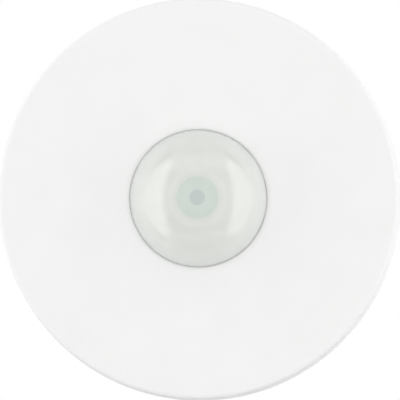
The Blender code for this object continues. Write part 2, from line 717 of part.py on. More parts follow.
# ---------------------------------------------------------------- adjusters
def trimmer_body(material, parent):
    body = box("trimmer_body", TRIMMER_SIZE, ON_BOARD_Z, bevel=TRIMMER_EDGE)
    top = ON_BOARD_Z + TRIMMER_SIZE[2] + BEYOND
    cut(body, rod("trimmer_well", ROTOR_RADIUS + GAP, WELL_Z, top))
    return placed(body, material, parent, (*TRIMMER_XY, 0))


def trimmer_rotor(material, parent):
    """The rotor that a screwdriver turns to set the range."""
    low = WELL_Z + GAP
    top = low + ROTOR_HEIGHT
    rotor = rod("trimmer_rotor", ROTOR_RADIUS, low, top)
    length, width, depth = ROTOR_RECESS
    for number, size in enumerate(((length, width), (width, length))):
        cut(rotor, box(f"rotor_recess_{number}", (*size, depth + BEYOND), top - depth))
    return placed(rotor, material, parent)


def dip_y(number):
    return ((DIP_WAYS + 1) / 2 - number) * DIP_PITCH


def dip_switch_body(material, parent):
    """The switch's body, with a slot that each slider runs along."""
    body = box("dip_switch_body", DIP_SIZE, ON_BOARD_Z, bevel=SWITCH_EDGE)
    length, width, height = DIP_SLIDER
    slot = (length + DIP_TRAVEL + 2 * GAP, width + 2 * GAP, height + BEYOND)
    for number in range(1, DIP_WAYS + 1):
        cut(body, box(f"dip_slot_{number}", slot, WELL_Z, (0, dip_y(number))))
    return placed(body, material, parent, (*DIP_XY, 0))


def dip_slider(number, material, parent):
    slider = box(f"dip_slider_{number}", DIP_SLIDER, WELL_Z + GAP)
    return placed(slider, material, parent)


def tamper_switch_body(material, parent):
    body = box("tamper_switch_body", TAMPER_SIZE, ON_BOARD_Z, bevel=SWITCH_EDGE)
    top = ON_BOARD_Z + TAMPER_SIZE[2] + BEYOND
    cut(body, rod("tamper_well", TAMPER_PLUNGER_RADIUS + GAP, WELL_Z, top, sides=20))
    return placed(body, material, parent, (*TAMPER_XY, 0))


def tamper_plunger(material, parent):
    """The plunger, held down by the cover's post while the cover is on."""
    radius = TAMPER_PLUNGER_RADIUS
    profile = [
        (0, TAMPER_PLUNGER_TOP),
        (radius - EDGE_BREAK, TAMPER_PLUNGER_TOP),
        (radius, TAMPER_PLUNGER_TOP - EDGE_BREAK),
        (radius, WELL_Z + GAP),
        (0, WELL_Z + GAP),
    ]
    return placed(turned("tamper_plunger", profile, 20), material, parent)


# ---------------------------------------------------------------- cover and lens
def face_z(radius):
    """Height of the front face, which rises a little towards the lens opening."""
    return COVER_FACE_Z + FACE_CROWN * (1 - (radius / FACE_EDGE_RADIUS) ** 2)


def cover_outside():
    """The cover's visible side: lens opening, crowned face, edge radius and skirt."""
    mouth = LENS_OPENING_RADIUS
    start = mouth + EDGE_BREAK
    points = [(mouth, face_z(mouth) - EDGE_BREAK), (start, face_z(mouth))]
    steps = 5
    for step in range(1, steps):
        radius = start + (FACE_EDGE_RADIUS - start) * step / steps
        points.append((radius, face_z(radius)))
    corner_z = COVER_FACE_Z - COVER_EDGE_RADIUS
    points += ring_arc(FACE_EDGE_RADIUS, corner_z, COVER_EDGE_RADIUS, 90, 0, 4)
    points += [
        (COVER_RADIUS, COVER_BACK_Z + EDGE_BREAK),
        (COVER_RADIUS - EDGE_BREAK, COVER_BACK_Z),
    ]
    return points


def cover_inside():
    """The cover's hidden side, from the foot of the skirt to the lens opening."""
    mouth = LENS_OPENING_RADIUS
    foot = COVER_RADIUS - COVER_WALL
    top = foot - COVER_DRAFT
    corner_z = COVER_FACE_Z - COVER_EDGE_RADIUS - COVER_INNER_CORNER
    middle = (top + mouth) / 2
    return [
        (foot, COVER_BACK_Z),
        (top, corner_z),
        (top - COVER_INNER_CORNER, COVER_FACE_Z - COVER_WALL),
        (middle, face_z(middle) - COVER_WALL),
        (mouth, face_z(mouth) - COVER_WALL),
    ]


def front_cover(material, parent):
    """The white shell: a shallow cap with a round opening for the lens."""
    cover = turned("front_cover", cover_outside() + cover_inside(), ROUND_SIDES)
    for number, angle in enumerate(RETAINER_SCREW_ANGLES, 1):
        at = on_circle(RETAINER_SCREW_CIRCLE, angle)
        low, skin_z = RETAINER_TOP_Z + GAP, FACE_Z - COVER_SKIN
        join(cover, rod(f"boss_{number}", BOSS_RADIUS, low, skin_z, at, 16))
        pilot = (PILOT_RADIUS, low - BEYOND, skin_z - 2 * NUDGE)
        cut(cover, rod(f"boss_pilot_{number}", *pilot, at, 12))
    for number, angle in enumerate(RIB_ANGLES, 1):
        join_turned(cover, cover_rib(number), angle)
    post_z = TAMPER_PLUNGER_TOP + GAP, COVER_FACE_Z - COVER_SKIN
    join(cover, rod("tamper_post", TAMPER_POST_RADIUS, *post_z, TAMPER_XY, 12))
    for number, angle in enumerate(LUG_ANGLES, 1):
        at = (HOUSING_RADIUS + BEAD_CLEARANCE + COVER_BEAD[0] / 2, 0)
        join_turned(cover, box(f"cover_bead_{number}", COVER_BEAD, COVER_BEAD_Z, at), angle)
    return placed(cover, material, parent)


def cover_rib(number):
    """A low stiffening rib behind the face, drawn on the x axis."""
    size = (RIB_OUTER - RIB_INNER, RIB_THICKNESS, RIB_DEPTH + 2 * OVERLAP)
    low = COVER_FACE_Z - COVER_WALL - RIB_DEPTH
    return box(f"cover_rib_{number}", size, low, ((RIB_INNER + RIB_OUTER) / 2, 0))


def fresnel_lens(material, parent):
    """The milky dome: a thin shell on an upright collar, with a flange behind the cover."""
    collar_z, apex = FACE_Z + LENS_COLLAR_RISE, FACE_Z + LENS_RISE
    rise = apex - collar_z
    sphere = (LENS_RADIUS**2 + rise**2) / (2 * rise)
    centre_z = apex - sphere
    start = math.degrees(math.asin((collar_z - centre_z) / sphere))
    inner_start = math.degrees(math.acos((LENS_RADIUS - LENS_WALL) / (sphere - LENS_WALL)))
    steps = 12
    outside = ring_arc(0, centre_z, sphere, 90, start, steps)
    inside = ring_arc(0, centre_z, sphere - LENS_WALL, inner_start, 90, steps)
    outside[0] = (0, apex)
    inside[-1] = (0, apex - LENS_WALL)
    flange = [
        (LENS_RADIUS, FLANGE_TOP_Z),
        (LENS_FLANGE_RADIUS, FLANGE_TOP_Z),
        (LENS_FLANGE_RADIUS, FLANGE_BACK_Z),
        (LENS_RADIUS - LENS_WALL, FLANGE_BACK_Z),
    ]
    return placed(turned("fresnel_lens", outside + flange + inside, 48), material, parent)


def lens_retainer(material, parent):
    """A ring behind the lens flange, screwed to the cover by three ears."""
    sizes = (RETAINER_INNER, RETAINER_OUTER, RETAINER_BACK_Z, RETAINER_TOP_Z)
    retainer = ring("lens_retainer", *sizes, 48)
    low, high = RETAINER_BACK_Z + NUDGE, RETAINER_TOP_Z - NUDGE
    for number, angle in enumerate(RETAINER_SCREW_ANGLES, 1):
        at = on_circle(RETAINER_SCREW_CIRCLE, angle)
        join(retainer, rod(f"retainer_ear_{number}", RETAINER_EAR_RADIUS, low, high, at, 20))
        hole = (RETAINER_HOLE_RADIUS, low - BEYOND, high + BEYOND)
        cut(retainer, rod(f"retainer_hole_{number}", *hole, at, 12))
    return placed(retainer, material, parent)


# ---------------------------------------------------------------- assembly
def build_sensor(housing, white, can_metal):
    """The pyroelectric sensor, its draught seal and the indicator."""
    pyro_spacer(white, housing)
    pyro_header(can_metal, housing)
    pyro_can(can_metal, housing)
    pyro_window(finish("window_dark", (0.06, 0.05, 0.07), 0.2), housing)
    sensor_gasket(finish("gasket_foam", (0.09, 0.09, 0.09), 0.9), housing)
    status_led(finish("led_red", (0.60, 0.05, 0.04), 0.25), housing)


def build_electronics(housing, steel, can_metal):
    """Everything else that is soldered to the board."""
    chip_black = finish("chip_black", (0.03, 0.03, 0.03), 0.5)
    chip_brown = finish("chip_brown", (0.45, 0.33, 0.22), 0.5)
    terminal_block(finish("terminal_green", (0.07, 0.34, 0.14), 0.5), housing)
    for number in range(1, TERMINALS + 1):
        terminal_screw(number, steel, housing)
    alarm_relay(chip_black, housing)
    for number, at in enumerate(CAPACITOR_XY, 1):
        electrolytic(f"capacitor_{number}", at, can_metal, housing)
    quarter = math.pi / 2
    package = (MICROCONTROLLER_SIZE, MICROCONTROLLER_LEGS, MICROCONTROLLER_XY)
    chip_package("microcontroller", *package, chip_black, housing, quarter)
    package = (AMPLIFIER_SIZE, AMPLIFIER_LEGS, AMPLIFIER_XY)
    chip_package("amplifier_chip", *package, chip_black, housing)
    chip_part("voltage_regulator", REGULATOR_SIZE, REGULATOR_XY, chip_black, housing)
    chip_part("surge_diode", DIODE_SIZE, DIODE_XY, chip_black, housing)
    for number, at in enumerate(RESISTOR_XY, 1):
        chip_part(f"chip_resistor_{number}", RESISTOR_SIZE, at, chip_black, housing)
    for number, at in enumerate(CHIP_CAPACITOR_XY, 1):
        chip_part(f"chip_capacitor_{number}", CHIP_CAPACITOR_SIZE, at, chip_brown, housing)


def build_adjusters(housing, white):
    """The range trimmer, the option switch and the tamper switch, each with what moves."""
    trimmer_body(finish("switch_blue", (0.06, 0.16, 0.45), 0.5), housing)
    trimmer_rotor(white, new_empty("range_rotor_axis", (*TRIMMER_XY, 0), housing))
    dip_switch_body(finish("switch_red", (0.60, 0.05, 0.04), 0.25), housing)
    rest_x = DIP_XY[0] - DIP_TRAVEL / 2
    for number in range(1, DIP_WAYS + 1):
        place = (rest_x, DIP_XY[1] + dip_y(number), 0)
        dip_slider(number, white, new_empty(f"dip_slider_{number}_axis", place, housing))
    tamper_switch_body(finish("chip_black", (0.03, 0.03, 0.03), 0.5), housing)
    tamper_plunger(white, new_empty("tamper_axis", (*TAMPER_XY, 0), housing))


def build_cover(housing, white, off_white, steel):
    """The cover with its lens, which come off together."""
    cover = new_empty("front_cover_axis", parent=housing)
    front_cover(white, cover)
    fresnel_lens(finish("lens_milky", (0.80, 0.83, 0.80), 0.35), cover)
    lens_retainer(off_white, cover)
    for number, angle in enumerate(RETAINER_SCREW_ANGLES, 1):
        at = on_circle(RETAINER_SCREW_CIRCLE, angle, RETAINER_BACK_Z - GAP)
        pan_screw(f"retainer_screw_{number}", RETAINER_SCREW, steel, cover, at, down=False)


def build():
    global PARTS, CUTTERS, STAND
    clear_scene()
    PARTS = new_collection("motion_sensor")
    CUTTERS = new_collection("cutters")
    STAND = new_empty("detector_stand")
    STAND.rotation_euler.x = math.pi / 2

    white = finish("cover_white", (0.87, 0.87, 0.86), 0.42)
    off_white = finish("housing_white", (0.82, 0.82, 0.80), 0.5)
    steel = finish("screw_steel", (0.62, 0.62, 0.60), 0.35, 0.9)
    can_metal = finish("can_metal", (0.70, 0.68, 0.62), 0.3, 1.0)

    mounting_plate(off_white)
    housing = new_empty("sensor_body_axis", parent=STAND)
    rear_housing(off_white, housing)
    cable_grommet(finish("grommet_rubber", (0.05, 0.05, 0.05), 0.8), housing)
    circuit_board(finish("board_green", (0.05, 0.22, 0.10), 0.45), housing)
    for number, angle in enumerate(PCB_SCREW_ANGLES, 1):
        at = on_circle(PCB_SCREW_CIRCLE, angle, ON_BOARD_Z)
        pan_screw(f"board_screw_{number}", BOARD_SCREW, steel, housing, at)
    build_sensor(housing, white, can_metal)
    build_electronics(housing, steel, can_metal)
    build_adjusters(housing, white)
    build_cover(housing, white, off_white, steel)

    for obj in PARTS.objects:
        if obj.type == "MESH":
            smooth(obj)


build()
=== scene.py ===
"""Looks of the round surface-mount motion detector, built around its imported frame.

Shapes are drawn in millimetres, in the detector's own terms: x to the right, y up, z the height
above the mounting face, and r the distance from the axis. OUTWARD then turns that z axis to the
scene's -Y, and millimetres to metres.
"""

import math

import bmesh
import bpy
from mathutils import Matrix, Vector, noise


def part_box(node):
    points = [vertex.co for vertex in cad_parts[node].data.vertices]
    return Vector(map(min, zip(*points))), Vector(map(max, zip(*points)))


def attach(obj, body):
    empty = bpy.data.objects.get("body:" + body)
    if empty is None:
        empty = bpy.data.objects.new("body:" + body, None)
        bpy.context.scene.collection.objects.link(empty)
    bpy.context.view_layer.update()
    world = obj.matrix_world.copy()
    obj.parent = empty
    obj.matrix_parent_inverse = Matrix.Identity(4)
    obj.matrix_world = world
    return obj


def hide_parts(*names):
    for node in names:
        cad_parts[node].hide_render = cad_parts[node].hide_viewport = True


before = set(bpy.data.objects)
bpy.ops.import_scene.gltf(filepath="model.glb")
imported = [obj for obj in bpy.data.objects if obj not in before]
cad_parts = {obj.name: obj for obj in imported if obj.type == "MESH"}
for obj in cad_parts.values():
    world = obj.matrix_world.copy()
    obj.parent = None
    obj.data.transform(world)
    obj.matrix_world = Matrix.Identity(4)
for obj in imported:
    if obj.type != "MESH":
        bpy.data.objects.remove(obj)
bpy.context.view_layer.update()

MM = 0.001
OUTWARD = Matrix.Rotation(math.pi / 2, 4, "X") @ Matrix.Scale(MM, 4)


class Spot:
    """Where a CAD node lies, in millimetres and in the detector's own terms."""

    def __init__(self, node):
        low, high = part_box(node)
        self.low = Vector((low.x, low.z, -high.y)) / MM
        self.high = Vector((high.x, high.z, -low.y)) / MM
        self.size = self.high - self.low
        self.x, self.y = ((self.low + self.high) / 2).xy
        self.at = (self.x, self.y)
        self.z0, self.z1 = self.low.z, self.high.z
        self.radius = self.size.x / 2

    def beside(self, x, y):
        """The point x and y away from the node's middle."""
        return (self.x + x, self.y + y)


COVER = Spot("front_cover")
LENS = Spot("fresnel_lens")
HOUSING = Spot("rear_housing")
PLATE = Spot("mounting_plate")
BOARD = Spot("circuit_board")


# ---- Blender helpers
def add_object(name, data):
    """Puts an object in the scene."""
    obj = bpy.data.objects.new(name, data)
    bpy.context.scene.collection.objects.link(obj)
    return obj


def as_mesh(name, bm):
    """Turns a shape into a mesh, and frees the shape."""
    mesh = bpy.data.meshes.new(name)
    bm.to_mesh(mesh)
    bm.free()
    return mesh


def add_node(tree, kind, inputs, **values):
    """Adds a shader node; each of its inputs is a value to set or a socket to link."""
    node = tree.nodes.new(kind)
    for name, value in values.items():
        setattr(node, name, value)
    for socket, value in inputs.items():
        if isinstance(value, bpy.types.NodeSocket):
            tree.links.new(value, node.inputs[socket])
        else:
            node.inputs[socket].default_value = value
    return node


def colour_ramp(tree, value, stops):
    """A smooth run of colours through (position, colour) stops."""
    node = add_node(tree, "ShaderNodeValToRGB", {"Fac": value})
    node.color_ramp.interpolation = "EASE"
    elements = node.color_ramp.elements
    while len(elements) < len(stops):
        elements.new(0.5)
    for element, (position, colour) in zip(elements, stops):
        element.position = position
        element.color = (*colour, 1)
    return node.outputs["Color"]


# ---- camera and studio
RIM_SHARE = 1.0035  # the cover's rim is a little wider than the image
CAMERA_DISTANCE = 2.5
CAMERA_TILT = math.radians(1.2)  # to the right of the axis, and as much below it
SENSOR = 36.0


def studio_camera():
    """A long lens almost on the axis, a little to its right and below it."""
    data = bpy.data.cameras.new("camera")
    camera = add_object("camera", data)
    side = math.tan(CAMERA_TILT)
    towards = Vector((side, -1, -side)).normalized()
    rim_centre = Vector((0, -COVER.z0 * MM, 0))
    camera.location = rim_centre + towards * CAMERA_DISTANCE
    camera.rotation_euler = towards.to_track_quat("Z", "Y").to_euler()
    data.sensor_width = SENSOR
    data.lens = SENSOR * CAMERA_DISTANCE * RIM_SHARE / (2 * COVER.radius * MM)
    data.clip_start, data.clip_end = 0.1, 20
    bpy.context.scene.camera = camera


STRIP_ANGLE = math.radians(76)  # away from straight in front
STRIP_SIZE = (0.50, 1.75)
STRIP_POWER = 3.1
OVERHEAD_ANGLE = math.radians(72)
OVERHEAD_SIZE = (1.60, 0.60)
OVERHEAD_POWER = 1.60
LIGHT_DISTANCE = 0.70
SURROUND = (  # degrees away from straight in front, and how bright the surround is there
    (38, 1.22),
    (60, 0.18),
    (92, 0.18),
    (112, 1.10),
)


def soft_light(name, towards, size, power):
    """An oval soft light that stands in the given direction and looks back at the detector."""
    data = bpy.data.lights.new(name, "AREA")
    data.shape = "ELLIPSE"
    data.size, data.size_y = size
    data.energy = power
    light = add_object(name, data)
    light.location = Vector(towards) * LIGHT_DISTANCE
    light.rotation_euler = light.location.to_track_quat("Z", "Y").to_euler()
    light.visible_camera = False


def studio_lights():
    """A tall strip on each side of the detector, and a weaker light above it."""
    across, ahead = math.sin(STRIP_ANGLE), math.cos(STRIP_ANGLE)
    soft_light("strip_left", (-across, -ahead, 0), STRIP_SIZE, STRIP_POWER)
    soft_light("strip_right", (across, -ahead, 0), STRIP_SIZE, STRIP_POWER)
    above, ahead = math.sin(OVERHEAD_ANGLE), math.cos(OVERHEAD_ANGLE)
    soft_light("overhead", (0, -ahead, above), OVERHEAD_SIZE, OVERHEAD_POWER)


def studio_surround():
    """A white surround, darker in a band to the sides, which the camera sees as plain white."""
    world = bpy.data.worlds.new("studio")
    world.use_nodes = True
    tree = world.node_tree
    tree.nodes.clear()
    direction = add_node(tree, "ShaderNodeTexCoord", {}).outputs["Generated"]
    split = add_node(tree, "ShaderNodeSeparateXYZ", {0: direction})
    ends = {"Value": split.outputs["Y"], "From Min": -1, "From Max": 1}
    behind = add_node(tree, "ShaderNodeMapRange", ends).outputs["Result"]  # 0 in front, 1 behind
    stops = [((1 - math.cos(math.radians(angle))) / 2, (level,) * 3) for angle, level in SURROUND]
    brightness = colour_ramp(tree, behind, stops)
    white = {"Color": (1, 1, 1, 1)}
    cast = add_node(tree, "ShaderNodeBackground", {**white, "Strength": brightness})
    seen = add_node(tree, "ShaderNodeBackground", white)
    by_camera = add_node(tree, "ShaderNodeLightPath", {}).outputs["Is Camera Ray"]
    shaders = {"Fac": by_camera, 1: cast.outputs[0], 2: seen.outputs[0]}
    mix = add_node(tree, "ShaderNodeMixShader", shaders)
    add_node(tree, "ShaderNodeOutputWorld", {"Surface": mix.outputs[0]})
    bpy.context.scene.world = world
    bpy.context.scene.view_settings.view_transform = "Standard"


FLOOR_DROP = 0.70  # below the detector's rim
FLOOR_RADIUS = 2.0
FLOOR_BACK = 1.5  # how far the floor's centre lies behind the detector


def studio_floor():
    """A round sheet of pale paper below the detector, mostly behind it."""
    bm = bmesh.new()
    bmesh.ops.create_circle(bm, cap_ends=True, segments=96, radius=FLOOR_RADIUS)
    floor = add_object("floor", as_mesh("floor", bm))
    floor.location = (0, FLOOR_BACK, -COVER.radius * MM - FLOOR_DROP)
    floor.data.materials.append(Look("floor_paper", (0.78, 0.78, 0.78), 0.8).material)


# ---- materials
OTHER_SLOTS = {  # the frame's slot, for the looks that aren't named for theirs
    "masked_copper": "circuit_board",
    "legend_ink": "switch_white",
    "can_aluminium": "can_metal",
    "solder_tin": "screw_steel",
    "resistor_ceramic": "chip_black",
}
WAVE_PERIOD = 0.314  # of Blender's wave texture at a scale of 1


class Look:
    """A Principled material with helpers for its procedural detail, in object space."""

    def __init__(self, name, colour, roughness, metallic=0.0):
        self.slot = OTHER_SLOTS.get(name, name)
        self.material = bpy.data.materials.new(name)
        self.material.use_nodes = True
        self.material.diffuse_color = (*colour, 1)
        self.tree = self.material.node_tree
        self.shader = self.tree.nodes["Principled BSDF"]
        self.set({"Base Color": (*colour, 1), "Roughness": roughness, "Metallic": metallic})
        self.coordinates = self.node("ShaderNodeTexCoord", {}).outputs["Object"]

    def set(self, values):
        """Sets values that are the same all over the surface."""
        for socket, value in values.items():
            self.shader.inputs[socket].default_value = value

    def node(self, kind, inputs, **values):
        return add_node(self.tree, kind, inputs, **values)

    def noise(self, size, detail=2.0, roughness=0.5):
        """Noise whose features are about size millimetres across, from 0 to 1."""
        inputs = {"Vector": self.coordinates, "Scale": 1 / (size * MM), "Detail": detail}
        return self.node("ShaderNodeTexNoise", {**inputs, "Roughness": roughness}).outputs["Fac"]

    def cells(self, size):
        """Distance to the nearest centre of cells about size millimetres across."""
        inputs = {"Vector": self.coordinates, "Scale": 1 / (size * MM)}
        return self.node("ShaderNodeTexVoronoi", inputs).outputs["Distance"]

    def weave(self, size):
        """Crossed threads in the plane of the board, from 0 to 1."""
        inputs = {"Vector": self.coordinates, "Scale": WAVE_PERIOD / (size * MM)}
        waves = [self.node("ShaderNodeTexWave", inputs, bands_direction=axis) for axis in "XZ"]
        threads = {number: wave.outputs["Fac"] for number, wave in enumerate(waves)}
        return self.node("ShaderNodeMath", threads, operation="MULTIPLY").outputs[0]

    def span(self, value, low, high, from_low=0.3, from_high=0.7):
        """Maps a value from between from_low and from_high onto low to high."""
        ends = {"From Min": from_low, "From Max": from_high, "To Min": low, "To Max": high}
        return self.node("ShaderNodeMapRange", {"Value": value, **ends}).outputs["Result"]

    def mix(self, factor, first, second):
        """Blends two colours, each a tuple or a socket, by a factor from a texture."""
        first, second = [(*c, 1) if isinstance(c, tuple) else c for c in (first, second)]
        inputs = {"Factor": factor, 6: first, 7: second}
        return self.node("ShaderNodeMix", inputs, data_type="RGBA").outputs[2]

    def facing_out(self):
        """1 on faces that look along the detector's axis, either way, and 0 on edges."""
        normal = self.node("ShaderNodeNewGeometry", {}).outputs["True Normal"]
        along = self.node("ShaderNodeSeparateXYZ", {0: normal}).outputs["Y"]
        size = self.node("ShaderNodeMath", {0: along}, operation="ABSOLUTE").outputs[0]
        return self.span(size, 0, 1, 0.6, 0.7)

    def radius(self, full):
        """Distance from the detector's axis, as a share of full millimetres."""
        place = self.node("ShaderNodeSeparateXYZ", {0: self.coordinates}).outputs
        flat = self.node("ShaderNodeCombineXYZ", {"X": place["X"], "Z": place["Z"]}).outputs[0]
        length = self.node("ShaderNodeVectorMath", {0: flat}, operation="LENGTH").outputs["Value"]
        return self.node("ShaderNodeMath", {0: length, 1: full * MM}, operation="DIVIDE").outputs[0]

    def paint(self, colour):
        self.tree.links.new(colour, self.shader.inputs["Base Color"])

    def patches(self, first, second, size, detail=2.0):
        """Paints soft patches of two colours, about size millimetres across."""
        self.paint(self.mix(self.span(self.noise(size, detail), 0, 1), first, second))

    def gloss(self, low, high, size, detail=2.0):
        """Varies the roughness from low to high over about size millimetres."""
        rough = self.span(self.noise(size, detail), low, high)
        self.tree.links.new(rough, self.shader.inputs["Roughness"])

    def bump(self, height, distance):
        """Adds relief of distance millimetres; several calls stack."""
        inputs = {"Height": height, "Distance": distance * MM}
        normal = self.shader.inputs["Normal"]
        if normal.is_linked:
            inputs["Normal"] = normal.links[0].from_socket
        self.tree.links.new(self.node("ShaderNodeBump", inputs).outputs["Normal"], normal)


def shaded(colour, share):
    """A colour made darker or lighter."""
    return tuple(channel * share for channel in colour)


def moulded(name, colour, roughness, grain=0.35, depth=0.012, shade=0.985):
    """Moulded plastic: fine spark-eroded grain, soft flow shading and uneven gloss."""
    look = Look(name, colour, roughness)
    look.patches(shaded(colour, shade), colour, 9)
    look.gloss(roughness - 0.04, roughness + 0.05, 3)
    look.bump(look.noise(grain, 3.0, 0.6), depth)
    return look


LENS_TINT_AND_SHADE_STOPS = (  # radius in millimetres, and the colour there: the plastic's milky tint with painted shade, darkest and greenest at the centre
    (0.0, (0.515, 0.575, 0.558)),
    (1.95, (0.525, 0.587, 0.562)),
    (2.30, (0.610, 0.678, 0.630)),
    (5.40, (0.602, 0.660, 0.613)),
    (6.10, (0.690, 0.710, 0.668)),
    (7.80, (0.741, 0.763, 0.719)),
    (10.2, (0.770, 0.786, 0.745)),
    (13.0, (0.731, 0.752, 0.713)),
    (15.3, (0.752, 0.771, 0.733)),
    (17.2, (0.736, 0.759, 0.727)),
    (19.0, (0.733, 0.757, 0.726)),
)
LENS_STOP_RANGE = 20.0
LENS_GLOSS = 0.19
LENS_SPECULAR = 0.9


def lens_plastic():
    """Milky polyethylene, its colour painted ring by ring: its own tint with painted shade, darkest and
    greenest at the centre where the sensor and board show through.
    """
    look = Look("lens_plastic", (0.72, 0.75, 0.72), LENS_GLOSS)
    stops = [(radius / LENS_STOP_RANGE, colour) for radius, colour in LENS_TINT_AND_SHADE_STOPS]
    # painted shade: the rings darken the dome towards its centre, for the dark sensor and green board seen
    # through it
    look.paint(colour_ramp(look.tree, look.radius(LENS_STOP_RANGE), stops))
    look.bump(look.noise(2.5), 0.02)
    look.set({"IOR": 1.53, "Specular IOR Level": LENS_SPECULAR})
    look.set({"Coat Weight": 0.35, "Coat Roughness": LENS_GLOSS})
    look.set({"Subsurface Weight": 1.0, "Subsurface Radius": (1.0, 1.0, 1.0)})
    look.set({"Subsurface Scale": 1.2 * MM})
    return look


def rubber():
    """Black rubber with a dusty bloom."""
    look = Look("grommet_rubber", (0.045, 0.045, 0.048), 0.7)
    look.patches((0.035, 0.035, 0.037), (0.06, 0.06, 0.063), 1.5)
    look.gloss(0.6, 0.82, 0.8)
    look.bump(look.noise(0.2, 3.0), 0.02)
    look.set({"Sheen Weight": 0.15})
    return look


def foam():
    """Open-cell foam: sunken cells with painted shade darkening them, between lighter struts."""
    look = Look("gasket_foam", (0.08, 0.08, 0.085), 0.95)
    pore_depth_and_shade = look.span(look.cells(0.35), 0, 1, 0.15, 0.6)
    # painted shade: each cell darker towards its middle, where the same mask sinks it in relief
    look.paint(look.mix(pore_depth_and_shade, (0.02, 0.02, 0.022), (0.12, 0.12, 0.125)))
    look.bump(pore_depth_and_shade, 0.12)
    look.bump(look.noise(0.12, 3.0), 0.05)
    return look


MASK_GREEN = (0.018, 0.105, 0.045)
THREAD = 0.5  # across one glass-fibre bundle


def laminate():
    """Glass-fibre board: green solder mask over the weave, and bare resin along its edges."""
    look = Look("circuit_board", MASK_GREEN, 0.35)
    weave = look.span(look.weave(THREAD), 0, 1, 0.0, 1.0)
    mask = look.mix(weave, shaded(MASK_GREEN, 0.8), shaded(MASK_GREEN, 1.25))
    resin = look.mix(look.noise(0.4, 3.0), (0.36, 0.33, 0.17), (0.50, 0.46, 0.27))
    look.paint(look.mix(look.facing_out(), resin, mask))
    look.gloss(0.28, 0.42, 2)
    look.bump(look.weave(THREAD), 0.008)
    look.set({"Coat Weight": 0.4})
    return look


def masked_copper():
    """Copper tracks under the solder mask, which is lighter there."""
    look = Look("masked_copper", (0.04, 0.20, 0.08), 0.3)
    look.paint(look.mix(look.noise(1.2), (0.035, 0.18, 0.07), (0.05, 0.23, 0.09)))
    look.gloss(0.24, 0.38, 0.7)
    look.set({"Coat Weight": 0.4})
    return look


def ink():
    """White legend ink with thin patches."""
    look = Look("legend_ink", (0.78, 0.78, 0.74), 0.6)
    look.patches((0.66, 0.68, 0.63), (0.82, 0.82, 0.79), 0.3, 3.0)
    look.bump(look.noise(0.1), 0.004)
    return look


def metal(name, colour, roughness, grain=0.5, depth=0.004, spread=0.08):
    """Bare or plated metal with uneven gloss, faint stains and a fine drawn grain."""
    look = Look(name, colour, roughness, 1.0)
    look.patches(shaded(colour, 0.86), colour, 2.2, 3.0)
    look.gloss(roughness - spread, roughness + spread, 0.9, 3.0)
    look.bump(look.noise(grain, 4.0, 0.7), depth)
    return look


def filter_glass():
    """The sensor's infrared filter: a dark coated crystal."""
    look = Look("filter_window", (0.055, 0.035, 0.070), 0.08)
    look.paint(look.mix(look.noise(1.8), (0.040, 0.030, 0.075), (0.080, 0.040, 0.060)))
    look.gloss(0.05, 0.14, 0.6)
    look.set({"Coat Weight": 1.0, "Coat Roughness": 0.04})
    return look


def led_epoxy():
    """Clear red epoxy, uneven in colour and gloss."""
    look = Look("led_red", (0.62, 0.03, 0.025), 0.12)
    look.paint(look.mix(look.noise(1.4), (0.50, 0.015, 0.015), (0.72, 0.05, 0.04)))
    look.gloss(0.08, 0.18, 0.5)
    look.set({"Transmission Weight": 0.35, "Coat Weight": 0.6})
    return look


def ceramic(name, colour):
    """Fired ceramic: speckled and a little rough."""
    look = Look(name, colour, 0.42)
    look.patches(shaded(colour, 0.8), colour, 0.12, 3.0)
    look.bump(look.noise(0.08, 3.0), 0.006)
    return look


def make_looks():
    """Every material, by the short name that the pieces use."""
    return {
        "cover": moulded("cover_plastic", (0.855, 0.855, 0.852), 0.36),
        "lens": lens_plastic(),
        "housing": moulded("housing_plastic", (0.80, 0.80, 0.78), 0.5, 0.5, 0.015, 0.97),
        "rubber": rubber(),
        "foam": foam(),
        "board": laminate(),
        "track": masked_copper(),
        "ink": ink(),
        "steel": metal("screw_steel", (0.66, 0.66, 0.63), 0.34),
        "can": metal("can_metal", (0.74, 0.72, 0.67), 0.27, 0.8, 0.003),
        "aluminium": metal("can_aluminium", (0.80, 0.80, 0.80), 0.30, 0.3, 0.006),
        "solder": metal("solder_tin", (0.72, 0.72, 0.70), 0.25, 0.25, 0.012, 0.1),
        "filter": filter_glass(),
        "led": led_epoxy(),
        "terminal": moulded("terminal_green", (0.045, 0.26, 0.09), 0.45, 0.3, 0.012, 0.9),
        "epoxy": moulded("chip_black", (0.030, 0.030, 0.032), 0.52, 0.12, 0.010, 0.75),
        "brown": ceramic("chip_brown", (0.42, 0.30, 0.19)),
        "alumina": ceramic("resistor_ceramic", (0.78, 0.77, 0.74)),
        "trimmer": moulded("trimmer_blue", (0.035, 0.12, 0.42), 0.4, 0.3, 0.010, 0.9),
        "red": moulded("switch_red", (0.55, 0.035, 0.03), 0.42, 0.3, 0.010, 0.9),
        "white": moulded("switch_white", (0.80, 0.80, 0.77), 0.4, 0.3, 0.010, 0.96),
    }


# ---- shapes
PAST = 1.0  # how far a cutter runs past the surface that it cuts
GAP = 0.3  # between pieces that face each other
ON_AXIS = 1e-4  # an outline's point nearer the axis than this lies on it


def arc(centre_r, centre_z, radius, start_deg, end_deg, steps, squash=1.0):
    """Points of an arc in a plane, both ends included; squash flattens it in z."""
    points = []
    for step in range(steps + 1):
        angle = math.radians(start_deg + (end_deg - start_deg) * step / steps)
        points.append((centre_r + radius * math.cos(angle), centre_z + squash * radius * math.sin(angle)))
    return points


def on_circle(radius, degrees):
    """The point at an angle on a circle about the origin."""
    return (radius * math.cos(math.radians(degrees)), radius * math.sin(math.radians(degrees)))


